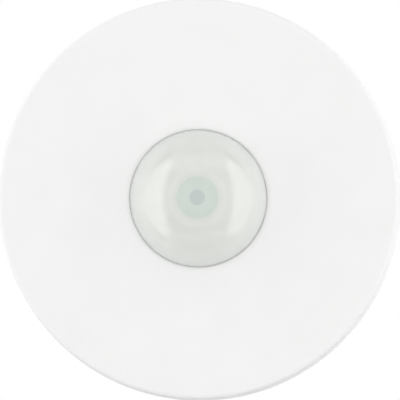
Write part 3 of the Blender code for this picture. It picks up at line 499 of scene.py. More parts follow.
def lathe(profile, segments=96, at=(0, 0)):
    """A closed (r, z) outline turned about the vertical line through at."""
    bm = bmesh.new()
    rings = []
    for r, z in profile:
        if r < ON_AXIS:
            rings.append([bm.verts.new((*at, z))])
            continue
        ring = []
        for index in range(segments):
            turn = math.tau * index / segments
            ring.append(bm.verts.new((at[0] + r * math.cos(turn), at[1] + r * math.sin(turn), z)))
        rings.append(ring)
    for first, second in zip(rings, rings[1:] + rings[:1]):
        if len(first) == 1 and len(second) == 1:
            continue
        for index in range(segments):
            after = (index + 1) % segments
            corners = [first[index % len(first)], first[after % len(first)]]
            corners += [second[after % len(second)], second[index % len(second)]]
            bm.faces.new(list(dict.fromkeys(corners)))
    bmesh.ops.recalc_face_normals(bm, faces=bm.faces)
    return bm


def rod(radius, z0, z1, at=(0, 0), edge=0.0, segments=48):
    """An upright rod with a rounded top edge."""
    profile = [(0, z1)]
    profile += arc(radius - edge, z1 - edge, edge, 90, 0, 4) if edge else [(radius, z1)]
    return lathe(profile + [(radius, z0), (0, z0)], segments, at)


def tube(inner, outer, z0, z1, at=(0, 0), edge=0.0, segments=96):
    """A ring with rounded top edges."""
    if not edge:
        return lathe([(inner, z1), (outer, z1), (outer, z0), (inner, z0)], segments, at)
    profile = arc(inner + edge, z1 - edge, edge, 180, 90, 4) + arc(outer - edge, z1 - edge, edge, 90, 0, 4)
    return lathe(profile + [(outer, z0), (inner, z0)], segments, at)


def block(low, high, edge=0.0, steps=2):
    """A box between two corners, with rounded edges."""
    low, high = Vector(low), Vector(high)
    bm = bmesh.new()
    place = Matrix.Translation((low + high) / 2) @ Matrix.Diagonal((*(high - low), 1))
    bmesh.ops.create_cube(bm, size=1, matrix=place)
    if edge:
        bmesh.ops.bevel(bm, geom=bm.edges[:], offset=edge, segments=steps, profile=0.5, affect="EDGES")
    return bm


def slab(at, size, z0, z1, edge=0.0, steps=2):
    """A box of a given length and width about the point at."""
    half_x, half_y = size[0] / 2, size[1] / 2
    return block((at[0] - half_x, at[1] - half_y, z0), (at[0] + half_x, at[1] + half_y, z1), edge, steps)


def prism(outline, z0, z1):
    """An upright block on a flat outline of (x, y) points."""
    bm = bmesh.new()
    base = bm.faces.new([bm.verts.new((x, y, z0)) for x, y in outline])
    raised = bmesh.ops.extrude_face_region(bm, geom=[base])["geom"]
    lifted = [item for item in raised if isinstance(item, bmesh.types.BMVert)]
    bmesh.ops.translate(bm, verts=lifted, vec=(0, 0, z1 - z0))
    bmesh.ops.recalc_face_normals(bm, faces=bm.faces)
    return bm


def stadium(length, width, at, tall):
    """The outline of a slot with round ends, longer in x, or in y if it is tall."""
    half = (length - width) / 2
    points = arc(half, 0, width / 2, -90, 90, 12) + arc(-half, 0, width / 2, 90, 270, 12)
    if tall:
        points = [(-y, x) for x, y in points]
    return [(at[0] + x, at[1] + y) for x, y in points]


def arc_block(inner, outer, z0, z1, middle, width):
    """A stretch of a ring; its middle and its width are in degrees."""
    start, end = middle - width / 2, middle + width / 2
    steps = max(3, round(width / 2))
    outline = arc(0, 0, outer, start, end, steps) + arc(0, 0, inner, end, start, steps)
    return prism(outline, z0, z1)


def ribbon(points, width, z0, z1):
    """A flat strip along a line of (x, y) points, with mitred corners."""
    points = [Vector(point) for point in points]
    legs = [(after - before).normalized() for before, after in zip(points, points[1:])]
    left, right = [], []
    for point, before, after in zip(points, legs[:1] + legs, legs + legs[-1:]):
        along = (before + after).normalized()
        across = Vector((-along.y, along.x))
        reach = width / 2 / max(0.5, along.dot(after))
        left.append(point + across * reach)
        right.append(point - across * reach)
    return prism(left + right[::-1], z0, z1)


def spun(bm, degrees):
    """Turns a shape about the detector's axis."""
    bmesh.ops.rotate(bm, verts=bm.verts, matrix=Matrix.Rotation(math.radians(degrees), 3, "Z"))
    return bm


def upright(bm):
    """Stands a shape drawn in x and z, given as x and y, up on its edge."""
    bmesh.ops.rotate(bm, verts=bm.verts, matrix=Matrix.Rotation(math.pi / 2, 3, "X"))
    return bm


def shifted(bm, x, y, z=0.0):
    """Moves a shape."""
    bmesh.ops.translate(bm, verts=bm.verts, vec=(x, y, z))
    return bm


def gathered(shapes):
    """Several shapes as one mesh of separate closed shells."""
    whole = bmesh.new()
    for shape in shapes:
        mesh = as_mesh("shape", shape)
        whole.from_mesh(mesh)
        bpy.data.meshes.remove(mesh)
    return whole


def fused(base, additions=(), cuts=()):
    """A shape joined with the additions and then cut, as one closed surface."""
    obj, *tools = [add_object("shape", as_mesh("shape", bm)) for bm in (base, *additions, *cuts)]
    for number, tool in enumerate(tools):
        modifier = obj.modifiers.new("shape", "BOOLEAN")
        modifier.operation = "UNION" if number < len(additions) else "DIFFERENCE"
        modifier.solver = "MANIFOLD"
        modifier.object = tool
    bpy.context.view_layer.update()
    evaluated = obj.evaluated_get(bpy.context.evaluated_depsgraph_get())
    bm = bmesh.new()
    bm.from_mesh(evaluated.data)
    for used in (obj, *tools):
        mesh = used.data
        bpy.data.objects.remove(used)
        bpy.data.meshes.remove(mesh)
    return bm


def piece(name, bm, look, node=None, body="sensor_body", sharp=30):
    """Makes a shape, or a list of them, a piece that rides on a body and may stand for a node."""
    bm = gathered(bm) if isinstance(bm, list) else bm
    bmesh.ops.transform(bm, matrix=OUTWARD, verts=bm.verts)
    bmesh.ops.recalc_face_normals(bm, faces=bm.faces)
    mesh = as_mesh(name, bm)
    mesh.shade_smooth()
    mesh.set_sharp_from_angle(angle=math.radians(sharp))
    mesh.materials.append(LOOKS[look].material)
    obj = add_object(name, mesh)
    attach(obj, body)
    if node:
        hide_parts(node)


# ---- front cover and lens
BAYONET_ANGLES = (30, 150, 270)
CLAMP_ANGLES = (90, 210, 330)
RETAINER_SCREWS = [on_circle(26.0, angle) for angle in CLAMP_ANGLES]
RIB_ANGLES = range(0, 360, 60)

COVER_WALL = 2.1
COVER_DRAFT = 0.6
EDGE_RADIUS = 1.2
FACE_CROWN = 0.6
FACE_EDGE = COVER.radius - COVER_DRAFT - EDGE_RADIUS
OPENING_RADIUS = 18.64
OPENING_LIP = 1.35
LIP_SQUASH = 0.45
TAMPER_POST_RADIUS = 1.4
BOSS_RADIUS, PILOT_RADIUS = 2.6, 1.2
RIB_MIDDLE, RIB_SIZE, RIB_DEPTH = 40, (20, 1.2), 1.4
BEAD_HALF = 4.0  # half the length of a snap bead


def snap_beads(r0, r1, z0, z1, edge):
    """A short bead between two radii and two heights, at each bayonet angle."""
    low, high = (r0, -BEAD_HALF, z0), (r1, BEAD_HALF, z1)
    return [spun(block(low, high, edge), angle) for angle in BAYONET_ANGLES]


def face_z(r):
    """Height of the crowned front face."""
    return COVER.z1 - FACE_CROWN * (r / FACE_EDGE) ** 2


def cover_outline():
    """The shell's wall: rolled lip, crowned face, rounded edge, skirt, and the inside back."""
    mouth, lip, foot_round = OPENING_RADIUS, OPENING_LIP, 0.45
    outline = arc(mouth + lip, face_z(mouth) - lip * LIP_SQUASH, lip, 180, 90, 10, LIP_SQUASH)
    steps = 16
    for step in range(1, steps):
        r = mouth + lip + (FACE_EDGE - mouth - lip) * step / steps
        outline.append((r, face_z(r)))
    outline += arc(FACE_EDGE, face_z(FACE_EDGE) - EDGE_RADIUS, EDGE_RADIUS, 90, 2, 12)
    outline += arc(COVER.radius - foot_round, COVER.z0 + foot_round, foot_round, 0, -90, 5)
    foot = COVER.radius - COVER_WALL
    top = foot - COVER_DRAFT
    fillet = 1.2
    outline += [(foot, COVER.z0)]
    outline += arc(top - fillet, face_z(FACE_EDGE) - COVER_WALL - fillet, fillet, 0, 90, 6)
    middle = (top + mouth) / 2
    outline += [(middle, face_z(middle) - COVER_WALL), (mouth, face_z(mouth) - COVER_WALL)]
    return outline


def front_cover():
    """The white shell, with the bosses, ribs, beads and tamper post behind its face."""
    inside = face_z(FACE_EDGE) - COVER_WALL
    root = inside + COVER_WALL / 2
    shapes, pilots = [], []
    low = RETAINER.z1 + GAP
    for at in RETAINER_SCREWS:
        shapes.append(rod(BOSS_RADIUS, low, root, at))
        shapes.append(rod(BOSS_RADIUS + 0.6, inside - 0.4, root, at))
        pilots.append(rod(PILOT_RADIUS, low - PAST, inside + 0.9, at, segments=24))
    for angle in RIB_ANGLES:
        shapes.append(spun(slab((RIB_MIDDLE, 0), RIB_SIZE, inside - RIB_DEPTH, root, 0.2), angle))
    shapes.append(rod(TAMPER_POST_RADIUS, TAMPER.z1 + GAP, root, TAMPER.at, segments=32))
    wall = COVER.radius - COVER_WALL
    shapes += snap_beads(wall - 0.75, wall + 0.4, 3.1, 4.0, 0.25)
    bm = fused(lathe(cover_outline(), 256), shapes, pilots)
    piece("cover_shell", bm, "cover", "front_cover", body="front_cover")


LENS_RADIUS = 18.36
LEDGE_RADIUS, LEDGE_DEPTH = 18.60, 0.30  # the step between the dome and the opening
LENS_WALL = 0.8
FLANGE_THICKNESS = 0.9
COLLAR_RISE = 0.1
RIM_ROUND = 1.8
FACET_DEPTH = 0.14
FACETS = 30
LAST_FACET = 89  # degrees up the dome, almost on its axis


def fresnel_lens():
    """The dome: smooth outside, with concentric saw-tooth facets inside."""
    collar_z = COVER.z1 + COLLAR_RISE
    rise = LENS.z1 - collar_z
    sphere = (LENS_RADIUS**2 + rise**2) / (2 * rise)
    centre_z = LENS.z1 - sphere
    inner_sphere = sphere - LENS_WALL
    inner_start = math.degrees(math.acos((LENS_RADIUS - LENS_WALL) / inner_sphere))
    rim_r = LENS_RADIUS - RIM_ROUND
    rim_rise = math.sqrt((sphere - RIM_ROUND) ** 2 - rim_r**2)  # where rim and dome run smoothly together
    start = math.degrees(math.atan2(rim_rise, rim_r))
    outline = arc(0, centre_z, sphere, 90, start, 60)
    outline += arc(rim_r, centre_z + rim_rise, RIM_ROUND, start, 0, 8)[1:]
    flange_top = LENS.z0 + FLANGE_THICKNESS
    outline += [
        (LENS_RADIUS, COVER.z1 - LEDGE_DEPTH),
        (LEDGE_RADIUS, COVER.z1 - LEDGE_DEPTH),
        (LEDGE_RADIUS, flange_top),
        (LENS.radius, flange_top),
        (LENS.radius, LENS.z0),
        (LENS_RADIUS - LENS_WALL, LENS.z0),
    ]
    for facet in range(FACETS):
        for number, radius in ((facet, inner_sphere), (facet + 1, inner_sphere + FACET_DEPTH)):
            r, z = on_circle(radius, inner_start + (LAST_FACET - inner_start) * number / FACETS)
            outline.append((r, centre_z + z))
    outline += [(0, LENS.z1 - LENS_WALL)]
    piece("lens_dome", lathe(outline, 192), "lens", "fresnel_lens", body="front_cover", sharp=40)


RETAINER = Spot("lens_retainer")
RETAINER_INNER, RETAINER_OUTER = 15.8, 23.2
EAR_RADIUS, EAR_HOLE = 3.6, 1.4
GROOVE_INNER, GROOVE_OUTER, GROOVE_DEPTH = 18.4, 20.6, 0.4


def lens_retainer():
    """The clamping ring behind the lens, with three screwed ears and a groove at its back."""
    low, high = RETAINER.z0, RETAINER.z1
    ring = tube(RETAINER_INNER, RETAINER_OUTER, low, high, segments=160)
    ears = [rod(EAR_RADIUS, low + 0.1, high - 0.1, at) for at in RETAINER_SCREWS]
    holes = [rod(EAR_HOLE, low - PAST, high + PAST, at, segments=32) for at in RETAINER_SCREWS]
    groove = tube(GROOVE_INNER, GROOVE_OUTER, low - PAST, low + GROOVE_DEPTH, segments=160)
    bm = fused(ring, ears, [*holes, groove])
    piece("lens_clamp_ring", bm, "housing", "lens_retainer", body="front_cover")


# ---- housing and mounting plate
HOUSING_WALL = 1.8
HOUSING_FLOOR_Z, FLOOR_TOP_Z = 5.6, 7.2
STANDOFF = 3.0
GUSSETS = 12
GUSSET_FOOT, GUSSET_TOP, GUSSET_HALF = 46.2, 12.5, 0.6
GUARD_INNER, GUARD_OUTER = 24.0, 25.2  # the low ring on the floor
BOARD_SCREWS = [on_circle(39.5, angle) for angle in CLAMP_ANGLES]
BOARD_PEG, PEG_RADIUS = on_circle(39.5, 60), 1.2
GROMMET = Spot("cable_grommet")
GROMMET_NECK = 4.7
LUG_WIDTH = 24


def rear_housing():
    """The pan that carries the board: skirt, floor, standoffs, gussets, lugs and snap beads."""
    outer, bore = HOUSING.radius, HOUSING.radius - HOUSING_WALL
    fillet = 0.8
    outline = [(0, FLOOR_TOP_Z)]
    outline += arc(bore - fillet, FLOOR_TOP_Z + fillet, fillet, -90, 0, 5)
    outline += [(bore, HOUSING.z1 - 0.2), (bore + 0.2, HOUSING.z1)]
    outline += arc(outer - 0.5, HOUSING.z1 - 0.5, 0.5, 90, 0, 5)
    outline += arc(outer - 0.3, HOUSING.z0 + 0.3, 0.3, 0, -90, 3)
    outline += [(bore, HOUSING.z0), (bore, HOUSING_FLOOR_Z), (0, HOUSING_FLOOR_Z)]
    shapes, holes = [], []
    in_wall = bore + HOUSING_WALL / 2
    lug = (PLATE_RING + 0.4, in_wall, PLATE_DEPTH + GAP, 3.3)
    shapes += [arc_block(*lug, angle, LUG_WIDTH - 2) for angle in BAYONET_ANGLES]
    shapes += snap_beads(outer - 1.0, outer + 0.2, 4.4, 5.4, 0.3)
    top, foot = FLOOR_TOP_Z + 0.6, FLOOR_TOP_Z - 0.5
    for at in BOARD_SCREWS:
        shapes.append(rod(STANDOFF, FLOOR_TOP_Z - 1, BOARD.z1 - 1.9, at))
        shapes.append(lathe([(0, top), (STANDOFF, top), (STANDOFF + 0.8, foot), (0, foot)], 48, at))
        holes.append(rod(PILOT_RADIUS, FLOOR_TOP_Z - 1.2, BOARD.z1, at, segments=24))
    web = [(GUSSET_FOOT, FLOOR_TOP_Z - 0.4), (in_wall, FLOOR_TOP_Z - 0.4)]
    web += [(in_wall, GUSSET_TOP), (bore - 0.6, GUSSET_TOP), (GUSSET_FOOT, top)]
    for number in range(GUSSETS):
        gusset = upright(prism(web, -GUSSET_HALF, GUSSET_HALF))
        shapes.append(spun(gusset, 360 * (number + 0.5) / GUSSETS))
    shapes.append(rod(PEG_RADIUS, foot, BOARD.z1 + 0.8, BOARD_PEG, 0.4, 32))
    shapes.append(tube(GUARD_INNER, GUARD_OUTER, foot, FLOOR_TOP_Z + 0.7, edge=0.2))
    holes.append(rod(GROMMET_NECK + GAP, HOUSING_FLOOR_Z - PAST, FLOOR_TOP_Z + PAST, GROMMET.at))
    bm = fused(lathe(outline, 192), shapes, holes)
    piece("housing_pan", bm, "housing", "rear_housing")


PLATE_DEPTH = 1.6
PLATE_RING = 43.0
PLATE_RING_WALL = 1.8
PLATE_LUG = 46.4
SCREW_SLOT = (10.0, 4.6)
SCREW_SLOT_X = 33.0
CABLE_SLOT = (24.0, 14.0)
SPARE_HOLES = ((-16, 28), (16, 28))
SPARE_RADIUS = 2.2
THIN_ANGLES = (35, 215)  # where the plate is thin, so that a surface cable can break through
PLATE_PINS = ((-12, 10), (12, 10), (-24, -24), (24, -24), (0, 36))  # ejector marks
ROOT_Z = 1.0  # where the raised rims start, inside the plate


def slot_outline(grow, at, size, tall=False):
    """A round-ended slot in the plate, wider all round by half of grow."""
    return stadium(size[0] + grow, size[1] + grow, at, tall)


def mounting_plate():
    """The plate: flat back with relief grooves, and a ring of bayonet lugs in front."""
    radius, top = PLATE.radius, PLATE.z1
    outline = [(0, PLATE_DEPTH)] + arc(radius - 0.4, PLATE_DEPTH - 0.4, 0.4, 90, 0, 4)
    outline += [(radius, 0.3), (radius - 0.3, 0)]
    for groove in (38.5, 21.5):
        outline += [(groove + 0.5, 0), (groove + 0.3, 0.35)]
        outline += [(groove - 0.3, 0.35), (groove - 0.5, 0)]
    outline += [(0, 0)]
    shapes = [tube(PLATE_RING - PLATE_RING_WALL, PLATE_RING, PLATE_DEPTH / 2, top, edge=0.3, segments=160)]
    root = PLATE_RING - PLATE_RING_WALL / 2
    for angle in BAYONET_ANGLES:
        shapes.append(arc_block(root, PLATE_LUG, top - 1.6, top - 0.1, angle, LUG_WIDTH))
        stop = angle - LUG_WIDTH / 2 - 1.6
        shapes.append(arc_block(root, PLATE_LUG - 0.2, PLATE_DEPTH / 2, top - 0.3, stop, 2.4))
    holes = [prism(slot_outline(0, GROMMET.at, CABLE_SLOT), -PAST, 3)]
    shapes.append(prism(slot_outline(2.4, GROMMET.at, CABLE_SLOT), ROOT_Z, 2.4))
    for side in (-1, 1):
        slot = ((side * SCREW_SLOT_X, 0), SCREW_SLOT, side < 0)
        shapes.append(prism(slot_outline(3.6, *slot), ROOT_Z, 2.6))
        holes.append(prism(slot_outline(0, *slot), -PAST, 4))
        holes.append(prism(slot_outline(1.2, *slot), -PAST, 0.3))
    for at in SPARE_HOLES:
        shapes.append(rod(3.6, ROOT_Z, 2.2, at))
        holes.append(rod(SPARE_RADIUS, -PAST, 4, at, segments=40))
        holes.append(rod(SPARE_RADIUS + 0.6, -PAST, 0.3, at, segments=40))
    for at in PLATE_PINS:
        holes.append(rod(1.5, -PAST, 0.08, at, segments=32))
    for angle in THIN_ANGLES:
        holes.append(arc_block(PLATE_RING + 1.5, 51, -PAST, 0.9, angle, 9))
    bm = fused(lathe(outline, 192), shapes, holes)
    piece("mounting_disc", bm, "housing", "mounting_plate", body="mounting_plate")


def cable_grommet():
    """A rubber bush with rounded flanges and two thin rings inside its bore."""
    bore, neck, flange, lip = 3.3, GROMMET_NECK, GROMMET.radius, 0.8
    low, high = GROMMET.z0, GROMMET.z1
    half = lip / 2
    outline = arc(bore + half, high - half, half, 180, 90, 4)
    outline += arc(flange - half, high - half, half, 90, -90, 8)
    outline += [(neck, high - lip), (neck, low + lip)]
    outline += arc(flange - half, low + half, half, 90, -90, 8)
    outline += arc(bore + half, low + half, half, 270, 180, 4)
    middle = (low + high) / 2
    for z in (middle - 0.6, middle + 0.6):
        outline += [(bore, z - 0.3), (bore - 0.25, z), (bore, z + 0.3)]
    piece("grommet_bush", lathe(outline, 96, GROMMET.at), "rubber", "cable_grommet")


# ---- screws
def pan_screw(node, body, head, upwards=True):
    """A pan-head screw with a tapered cross recess and a rolled thread."""
    spot = Spot(node)
    radius, length = spot.radius, spot.size.z - head
    root, crest, pitch, neck = 0.72, 0.95, 0.5, 0.3
    outline = [(0, head)]
    for step in range(1, 10):
        angle = math.radians(10 * step)
        outline.append((radius * math.sin(angle), head * math.cos(angle) ** 0.5))
    outline += [(radius - 0.1, 0), (root, 0), (root, -neck)]
    for turn in range(int((length - 1.2) / pitch)):
        z = -neck - turn * pitch
        outline += [(root, z - 0.1 * pitch), (crest, z - 0.5 * pitch), (root, z - 0.9 * pitch)]
    outline += [(root, -length + root), (0, -length)]
    arm, blade = radius * 1.24, radius * 0.26
    recess = [slab((0, 0), size, head * 0.35, head + PAST) for size in ((arm, blade), (blade, arm))]
    cone = lathe([(0, head + 0.1), (0.34 * radius, head + 0.1), (0, 0.2 * head)], 24)
    bm = fused(lathe(outline, 48), cuts=[*recess, cone])
    if not upwards:
        bmesh.ops.rotate(bm, verts=bm.verts, matrix=Matrix.Rotation(math.pi, 3, "X"))
    shifted(bm, *spot.at, spot.z1 - head if upwards else spot.z0 + head)
    piece(f"{node}_turned", bm, "steel", node, body=body)


# ---- circuit board
BOARD_TOP = BOARD.z1
PAD_TOP = BOARD_TOP + 0.07  # of the solder on a pad
SEAT_Z = BOARD_TOP + 0.15  # where moulded bodies start
FOOT = 0.2  # thickness of a switch's flat pins
COPPER = 0.05
TRACKS = (  # width, then the corners of each route, in millimetres
    (0.8, (-9.5, -34), (-9.5, -31.5), (-12, -29), (-18.3, -29)),
    (0.8, (-5.7, -34), (-5.7, -32), (-8.5, -29.2), (-8.5, -24.5), (-13, -20), (-20.9, -20)),
    (0.8, (5.7, -34), (5.7, -32), (9.2, -28.5), (23.4, -28.5)),
    (0.6, (9.5, -34), (9.5, -33), (11.5, -31), (23.4, -31)),
    (0.8, (-26.7, -12), (-21.5, -12), (-19.5, -10)),
    (0.5, (-31.3, -12), (-35, -12)),
    (0.8, (-22.7, -29), (-26, -25.7), (-26, -16.5), (-29, -13.5)),
    (0.5, (-23, -20), (-24.4, -18.6), (-24.4, -16)),
    (0.8, (-28.5, -5.7), (-28.5, -10.8)),
    (0.8, (-28.5, 9.7), (-28.5, 16.6)),
    (0.8, (-24.6, 20), (-22.2, 20), (-19, 23.2), (-19, 25.6)),
    (0.6, (-15.6, 29), (-14.5, 29), (-11, 32.5)),
    (0.4, (-9, 33), (-7, 33), (-3.6, 29.6), (-5, 29)),
    (0.4, (-5, 25), (2.2, 25), (4.1, 26.9)),
    (0.4, (-7, 29), (-9.5, 29), (-11, 27.5)),
    (0.4, (-7, 25), (-9.5, 25), (-11, 23.5)),
    (0.4, (7.9, 26.9), (7.9, 25.1), (11, 22)),
    (0.4, (13, 22), (16, 22), (18, 20)),
    (0.4, (20, 20), (21.5, 20), (23.7, 17.8)),
    (0.3, (23.9, 16.54), (21.8, 16.54), (20.4, 15.14)),
    (0.3, (23.9, 12.73), (21.8, 12.73), (20.4, 11.33)),
    (0.3, (23.9, 10.19), (21.0, 7.29), (21.0, 3.5)),
    (0.3, (30.1, 10.19), (31, 10.19), (36.2, 4.99), (36.2, 0.54), (35.2, 0.54)),
    (0.3, (30.1, 11.46), (31.6, 11.46), (37.2, 5.86), (37.2, -2), (35.2, -2)),
    (0.3, (30.1, 12.73), (32.3, 12.73), (38.2, 6.83), (38.2, -4.54), (35.2, -4.54)),
    (0.3, (27.9, 0.54), (25.4, 0.54)),
    (0.3, (27.9, -2), (25.4, -2)),
    (0.3, (27.9, -4.54), (25.4, -4.54)),
    (0.4, (4.1, 33.1), (4.1, 35.5)),
    (0.4, (6.6, 33.1), (6.6, 36.4)),
    (0.4, (16.4, 28), (12.5, 28)),
    (0.4, (1.27, 11), (5.5, 11), (7.5, 9)),
    (0.4, (-1.27, 11), (-5.5, 11), (-7.5, 9)),
    (0.5, (3.6, 3.6), (9.5, 9.5)),
    (0.5, (-3.6, 3.6), (-9.5, 9.5)),
    (0.5, (0, -5.2), (0, -12.5)),
)
VIA_RADIUS, VIA_HEIGHT = 0.5, 0.08
SCREW_PAD = (1.6, 3.1)  # the inner and outer radius of the copper round a board screw
CABLE_HOLE, SCREW_HOLE, LEAD_HOLE = 5.0, 1.5, 0.6  # radii of the board's holes
CAN_LEADS = [on_circle(2.54, angle) for angle in (45, 135, 270)]


def circuit_board():
    """The board with its holes, then its tracks, vias and printed outlines."""
    low, high = BOARD.z0 - PAST, BOARD_TOP + PAST
    holes = [rod(CABLE_HOLE, low, high, GROMMET.at)]
    holes += [rod(SCREW_HOLE, low, high, at, segments=32) for at in (*BOARD_SCREWS, BOARD_PEG)]
    holes += [rod(LEAD_HOLE, low, high, at, segments=16) for at in CAN_LEADS]
    bm = fused(rod(BOARD.radius, BOARD.z0, BOARD_TOP, segments=192), cuts=holes)
    piece("board_laminate", bm, "board", "circuit_board")

    routes, vias = [], []
    for width, *corners in TRACKS:
        routes.append(ribbon(corners, width, BOARD_TOP, BOARD_TOP + COPPER))
        top = BOARD_TOP + VIA_HEIGHT
        vias.append(tube(VIA_RADIUS / 2, VIA_RADIUS, BOARD_TOP, top, corners[-1], segments=20))
    vias += [tube(*SCREW_PAD, BOARD_TOP, BOARD_TOP + COPPER, at) for at in BOARD_SCREWS]
    piece("board_tracks", routes, "track")
    piece("board_vias", vias, "solder")
    piece("board_legend", board_legend(), "ink")


RESISTORS = [f"chip_resistor_{number}" for number in range(1, 5)]
CHIP_CAPACITORS = [f"chip_capacitor_{number}" for number in range(1, 4)]
OUTLINED = (
    "alarm_relay", "capacitor_1", "capacitor_2", "microcontroller", "amplifier_chip",
    "voltage_regulator", "surge_diode", "trimmer_body", "dip_switch_body", "tamper_switch_body",
    "terminal_block", *RESISTORS, *CHIP_CAPACITORS,
)


def board_legend():
    """Printed outlines round the parts, with a dot at the first pin of each package."""
    line, margin, top = 0.16, 0.45, BOARD_TOP + 0.02
    rings = ((CAN.radius + 0.4, CAN.at), (LED.radius + 0.5, LED.at))
    prints = [tube(radius, radius + line, BOARD_TOP, top, at) for radius, at in rings]
    for node in OUTLINED:
        spot = Spot(node)
        x0, y0 = spot.low.x - margin, spot.low.y - margin
        x1, y1 = spot.high.x + margin, spot.high.y + margin
        corners = [(x0, y0), (x1, y0), (x1, y1), (x0, y1), (x0, y0)]
        for ends in zip(corners, corners[1:]):
            prints.append(ribbon(ends, line, BOARD_TOP, top))
        prints.append(rod(0.3, BOARD_TOP, top, (x0 - 0.5, y1), segments=20))
    return prints


def solder_bead(at, radius=0.8, height=0.5):
    """A fillet of solder about a lead."""
    profile = [(0, height), (0.35 * radius, height), (0.5 * radius, 0.5 * height), (radius, 0.0), (0, 0.0)]
    return shifted(lathe(profile, 16, at), 0, 0, BOARD_TOP)


# ---- sensor and indicator
CAN = Spot("pyro_can")
LED = Spot("status_led")
FLANGE_DEPTH = 0.4
CAN_WINDOW = (4.2, 3.4)
LED_LEAD = 1.27  # a lead's distance from the lamp's middle


def pyro_sensor():
    """The metal can with its flange, window and locating tab, and the solder on its leads."""
    outer, inner, rim = 4.1, 3.7, CAN.radius
    low, top = CAN.z0, CAN.z1
    bend, root = 0.5, 0.25
    outline = [(0, top)] + arc(outer - bend, top - bend, bend, 90, 0, 6)
    outline += arc(outer + root, low + FLANGE_DEPTH + root, root, 180, 270, 4)
    under = top - (outer - inner)
    outline += [(rim, low + FLANGE_DEPTH), (rim, low), (inner, low), (inner, under), (0, under)]
    tab = spun(block((rim - 0.5, -0.45, low), (rim + 0.9, 0.45, low + 0.35)), 45)
    window = slab((0, 0), CAN_WINDOW, top - PAST, top + PAST)
    bm = fused(lathe(outline, 96), [tab], [window])
    piece("sensor_can", bm, "can", "pyro_can")
    leads = [solder_bead(at, 0.55, 0.25) for at in CAN_LEADS]
    piece("sensor_solder", leads, "solder")


GASKET = Spot("sensor_gasket")
GASKET_INNER = 16.2
DENT_DEPTH, DENT_SIZE = 0.10, 1.2


def sensor_gasket():
    """A cut foam ring, slightly uneven all round."""
    steps = 10
    height = GASKET.z1 - GASKET.z0
    outline = [(GASKET.radius, GASKET.z1 - height * step / steps) for step in range(steps + 1)]
    outline += [(GASKET_INNER, GASKET.z0 + height * step / steps) for step in range(steps + 1)]
    bm = lathe(outline, 160)
    middle = (GASKET_INNER + GASKET.radius) / 2
    for vert in bm.verts:
        radius = vert.co.xy.length
        dent = DENT_DEPTH * (noise.noise(vert.co / DENT_SIZE) - 0.6)
        vert.co.xy *= 1 + (dent if radius > middle else -dent) / radius
    piece("foam_ring", bm, "foam", "sensor_gasket")


def status_led():
    """A round red indicator on its two leads."""
    low, top = LED.z0, LED.z1
    flange, radius = LED.radius, 1.5
    outline = arc(0, top - radius, radius, 90, 0, 12) + [(radius, low + 0.8)]
    outline += arc(flange - 0.15, low + 0.65, 0.15, 90, 0, 3) + [(flange, low), (0, low)]
    flat = block((radius + 0.1, -3, -PAST), (4, 3, 0.9))
    bm = fused(lathe(outline, 64, LED.at), cuts=[shifted(flat, *LED.at, low)])
    piece("indicator_lamp", bm, "led", "status_led")
    leads = []
    for x in (-LED_LEAD, LED_LEAD):
        at = LED.beside(x, 0)
        leads += [slab(at, (0.45, 0.45), BOARD_TOP - 1, low + 0.2), solder_bead(at, 0.6, 0.25)]
    piece("indicator_leads", leads, "solder")


# ---- terminal block
BLOCK = Spot("terminal_block")
POLES = 6
POLE_PITCH = 3.81
STEP_DEPTH, STEP_HEIGHT = 1.5, 1.8  # of the step along the block's front
WIRE_WIDTH = 2.6
CAGE_WIDTH, CAGE_WINDOW = 2.5, 1.7


def terminal_block():
    """Six clamps: a stepped body with wire openings and screw wells, and a cage in each."""
    front, top = BLOCK.high.y, BLOCK.z1
    base = BOARD_TOP + 0.05
    body = slab(BLOCK.at, BLOCK.size.xy, base, top, 0.3)
    step = (BLOCK.size.x + 2 * PAST, 2 * STEP_DEPTH)
    cuts = [slab((BLOCK.x, front), step, top - STEP_HEIGHT, top + PAST)]
    cages, leads = [], []
    for number in range(POLES):
        x = BLOCK.x + (number - (POLES - 1) / 2) * POLE_PITCH
        cuts.append(slab((x, front), (WIRE_WIDTH, 2 * WIRE_WIDTH), base + 1.4, base + 4.0, 0.2))
        cuts.append(rod(1.5, BLOCK.z0 + 4.7, top + PAST, (x, BLOCK.y - 0.9), segments=40))
        cage = slab((x, front - 1.6), (CAGE_WIDTH, 1.6), base + 1.45, base + 3.95, 0.15)
        hole = slab((x, front - 1.6), (CAGE_WINDOW, 3.0), base + 1.9, base + 3.5)
        cages.append(fused(cage, cuts=[hole]))
        leads += [rod(0.45, BOARD.z0 - 1.5, base, (x, BLOCK.y), segments=16), solder_bead((x, BLOCK.y))]
        if number:
            for y in (front, BLOCK.low.y):
                cuts.append(slab((x - POLE_PITCH / 2, y), (0.35, 0.6), base - PAST, top + PAST))
    bm = fused(body, cuts=cuts)
    piece("terminal_body", bm, "terminal", "terminal_block")
    piece("terminal_cages", cages + leads, "solder")
    for number in range(1, POLES + 1):
        terminal_screw(f"terminal_screw_{number}")


def terminal_screw(node):
    """A slotted cheese-head screw."""
    spot = Spot(node)
    head = rod(spot.radius, spot.z0, spot.z1, spot.at, 0.2, 40)
    slot = slab(spot.at, (4, 0.5), spot.z1 - 0.8, spot.z1 + PAST)
    piece(f"{node}_head", fused(head, cuts=[slot]), "steel", node)


# ---- relay and capacitors
RELAY_PIN_PITCH = 3.2


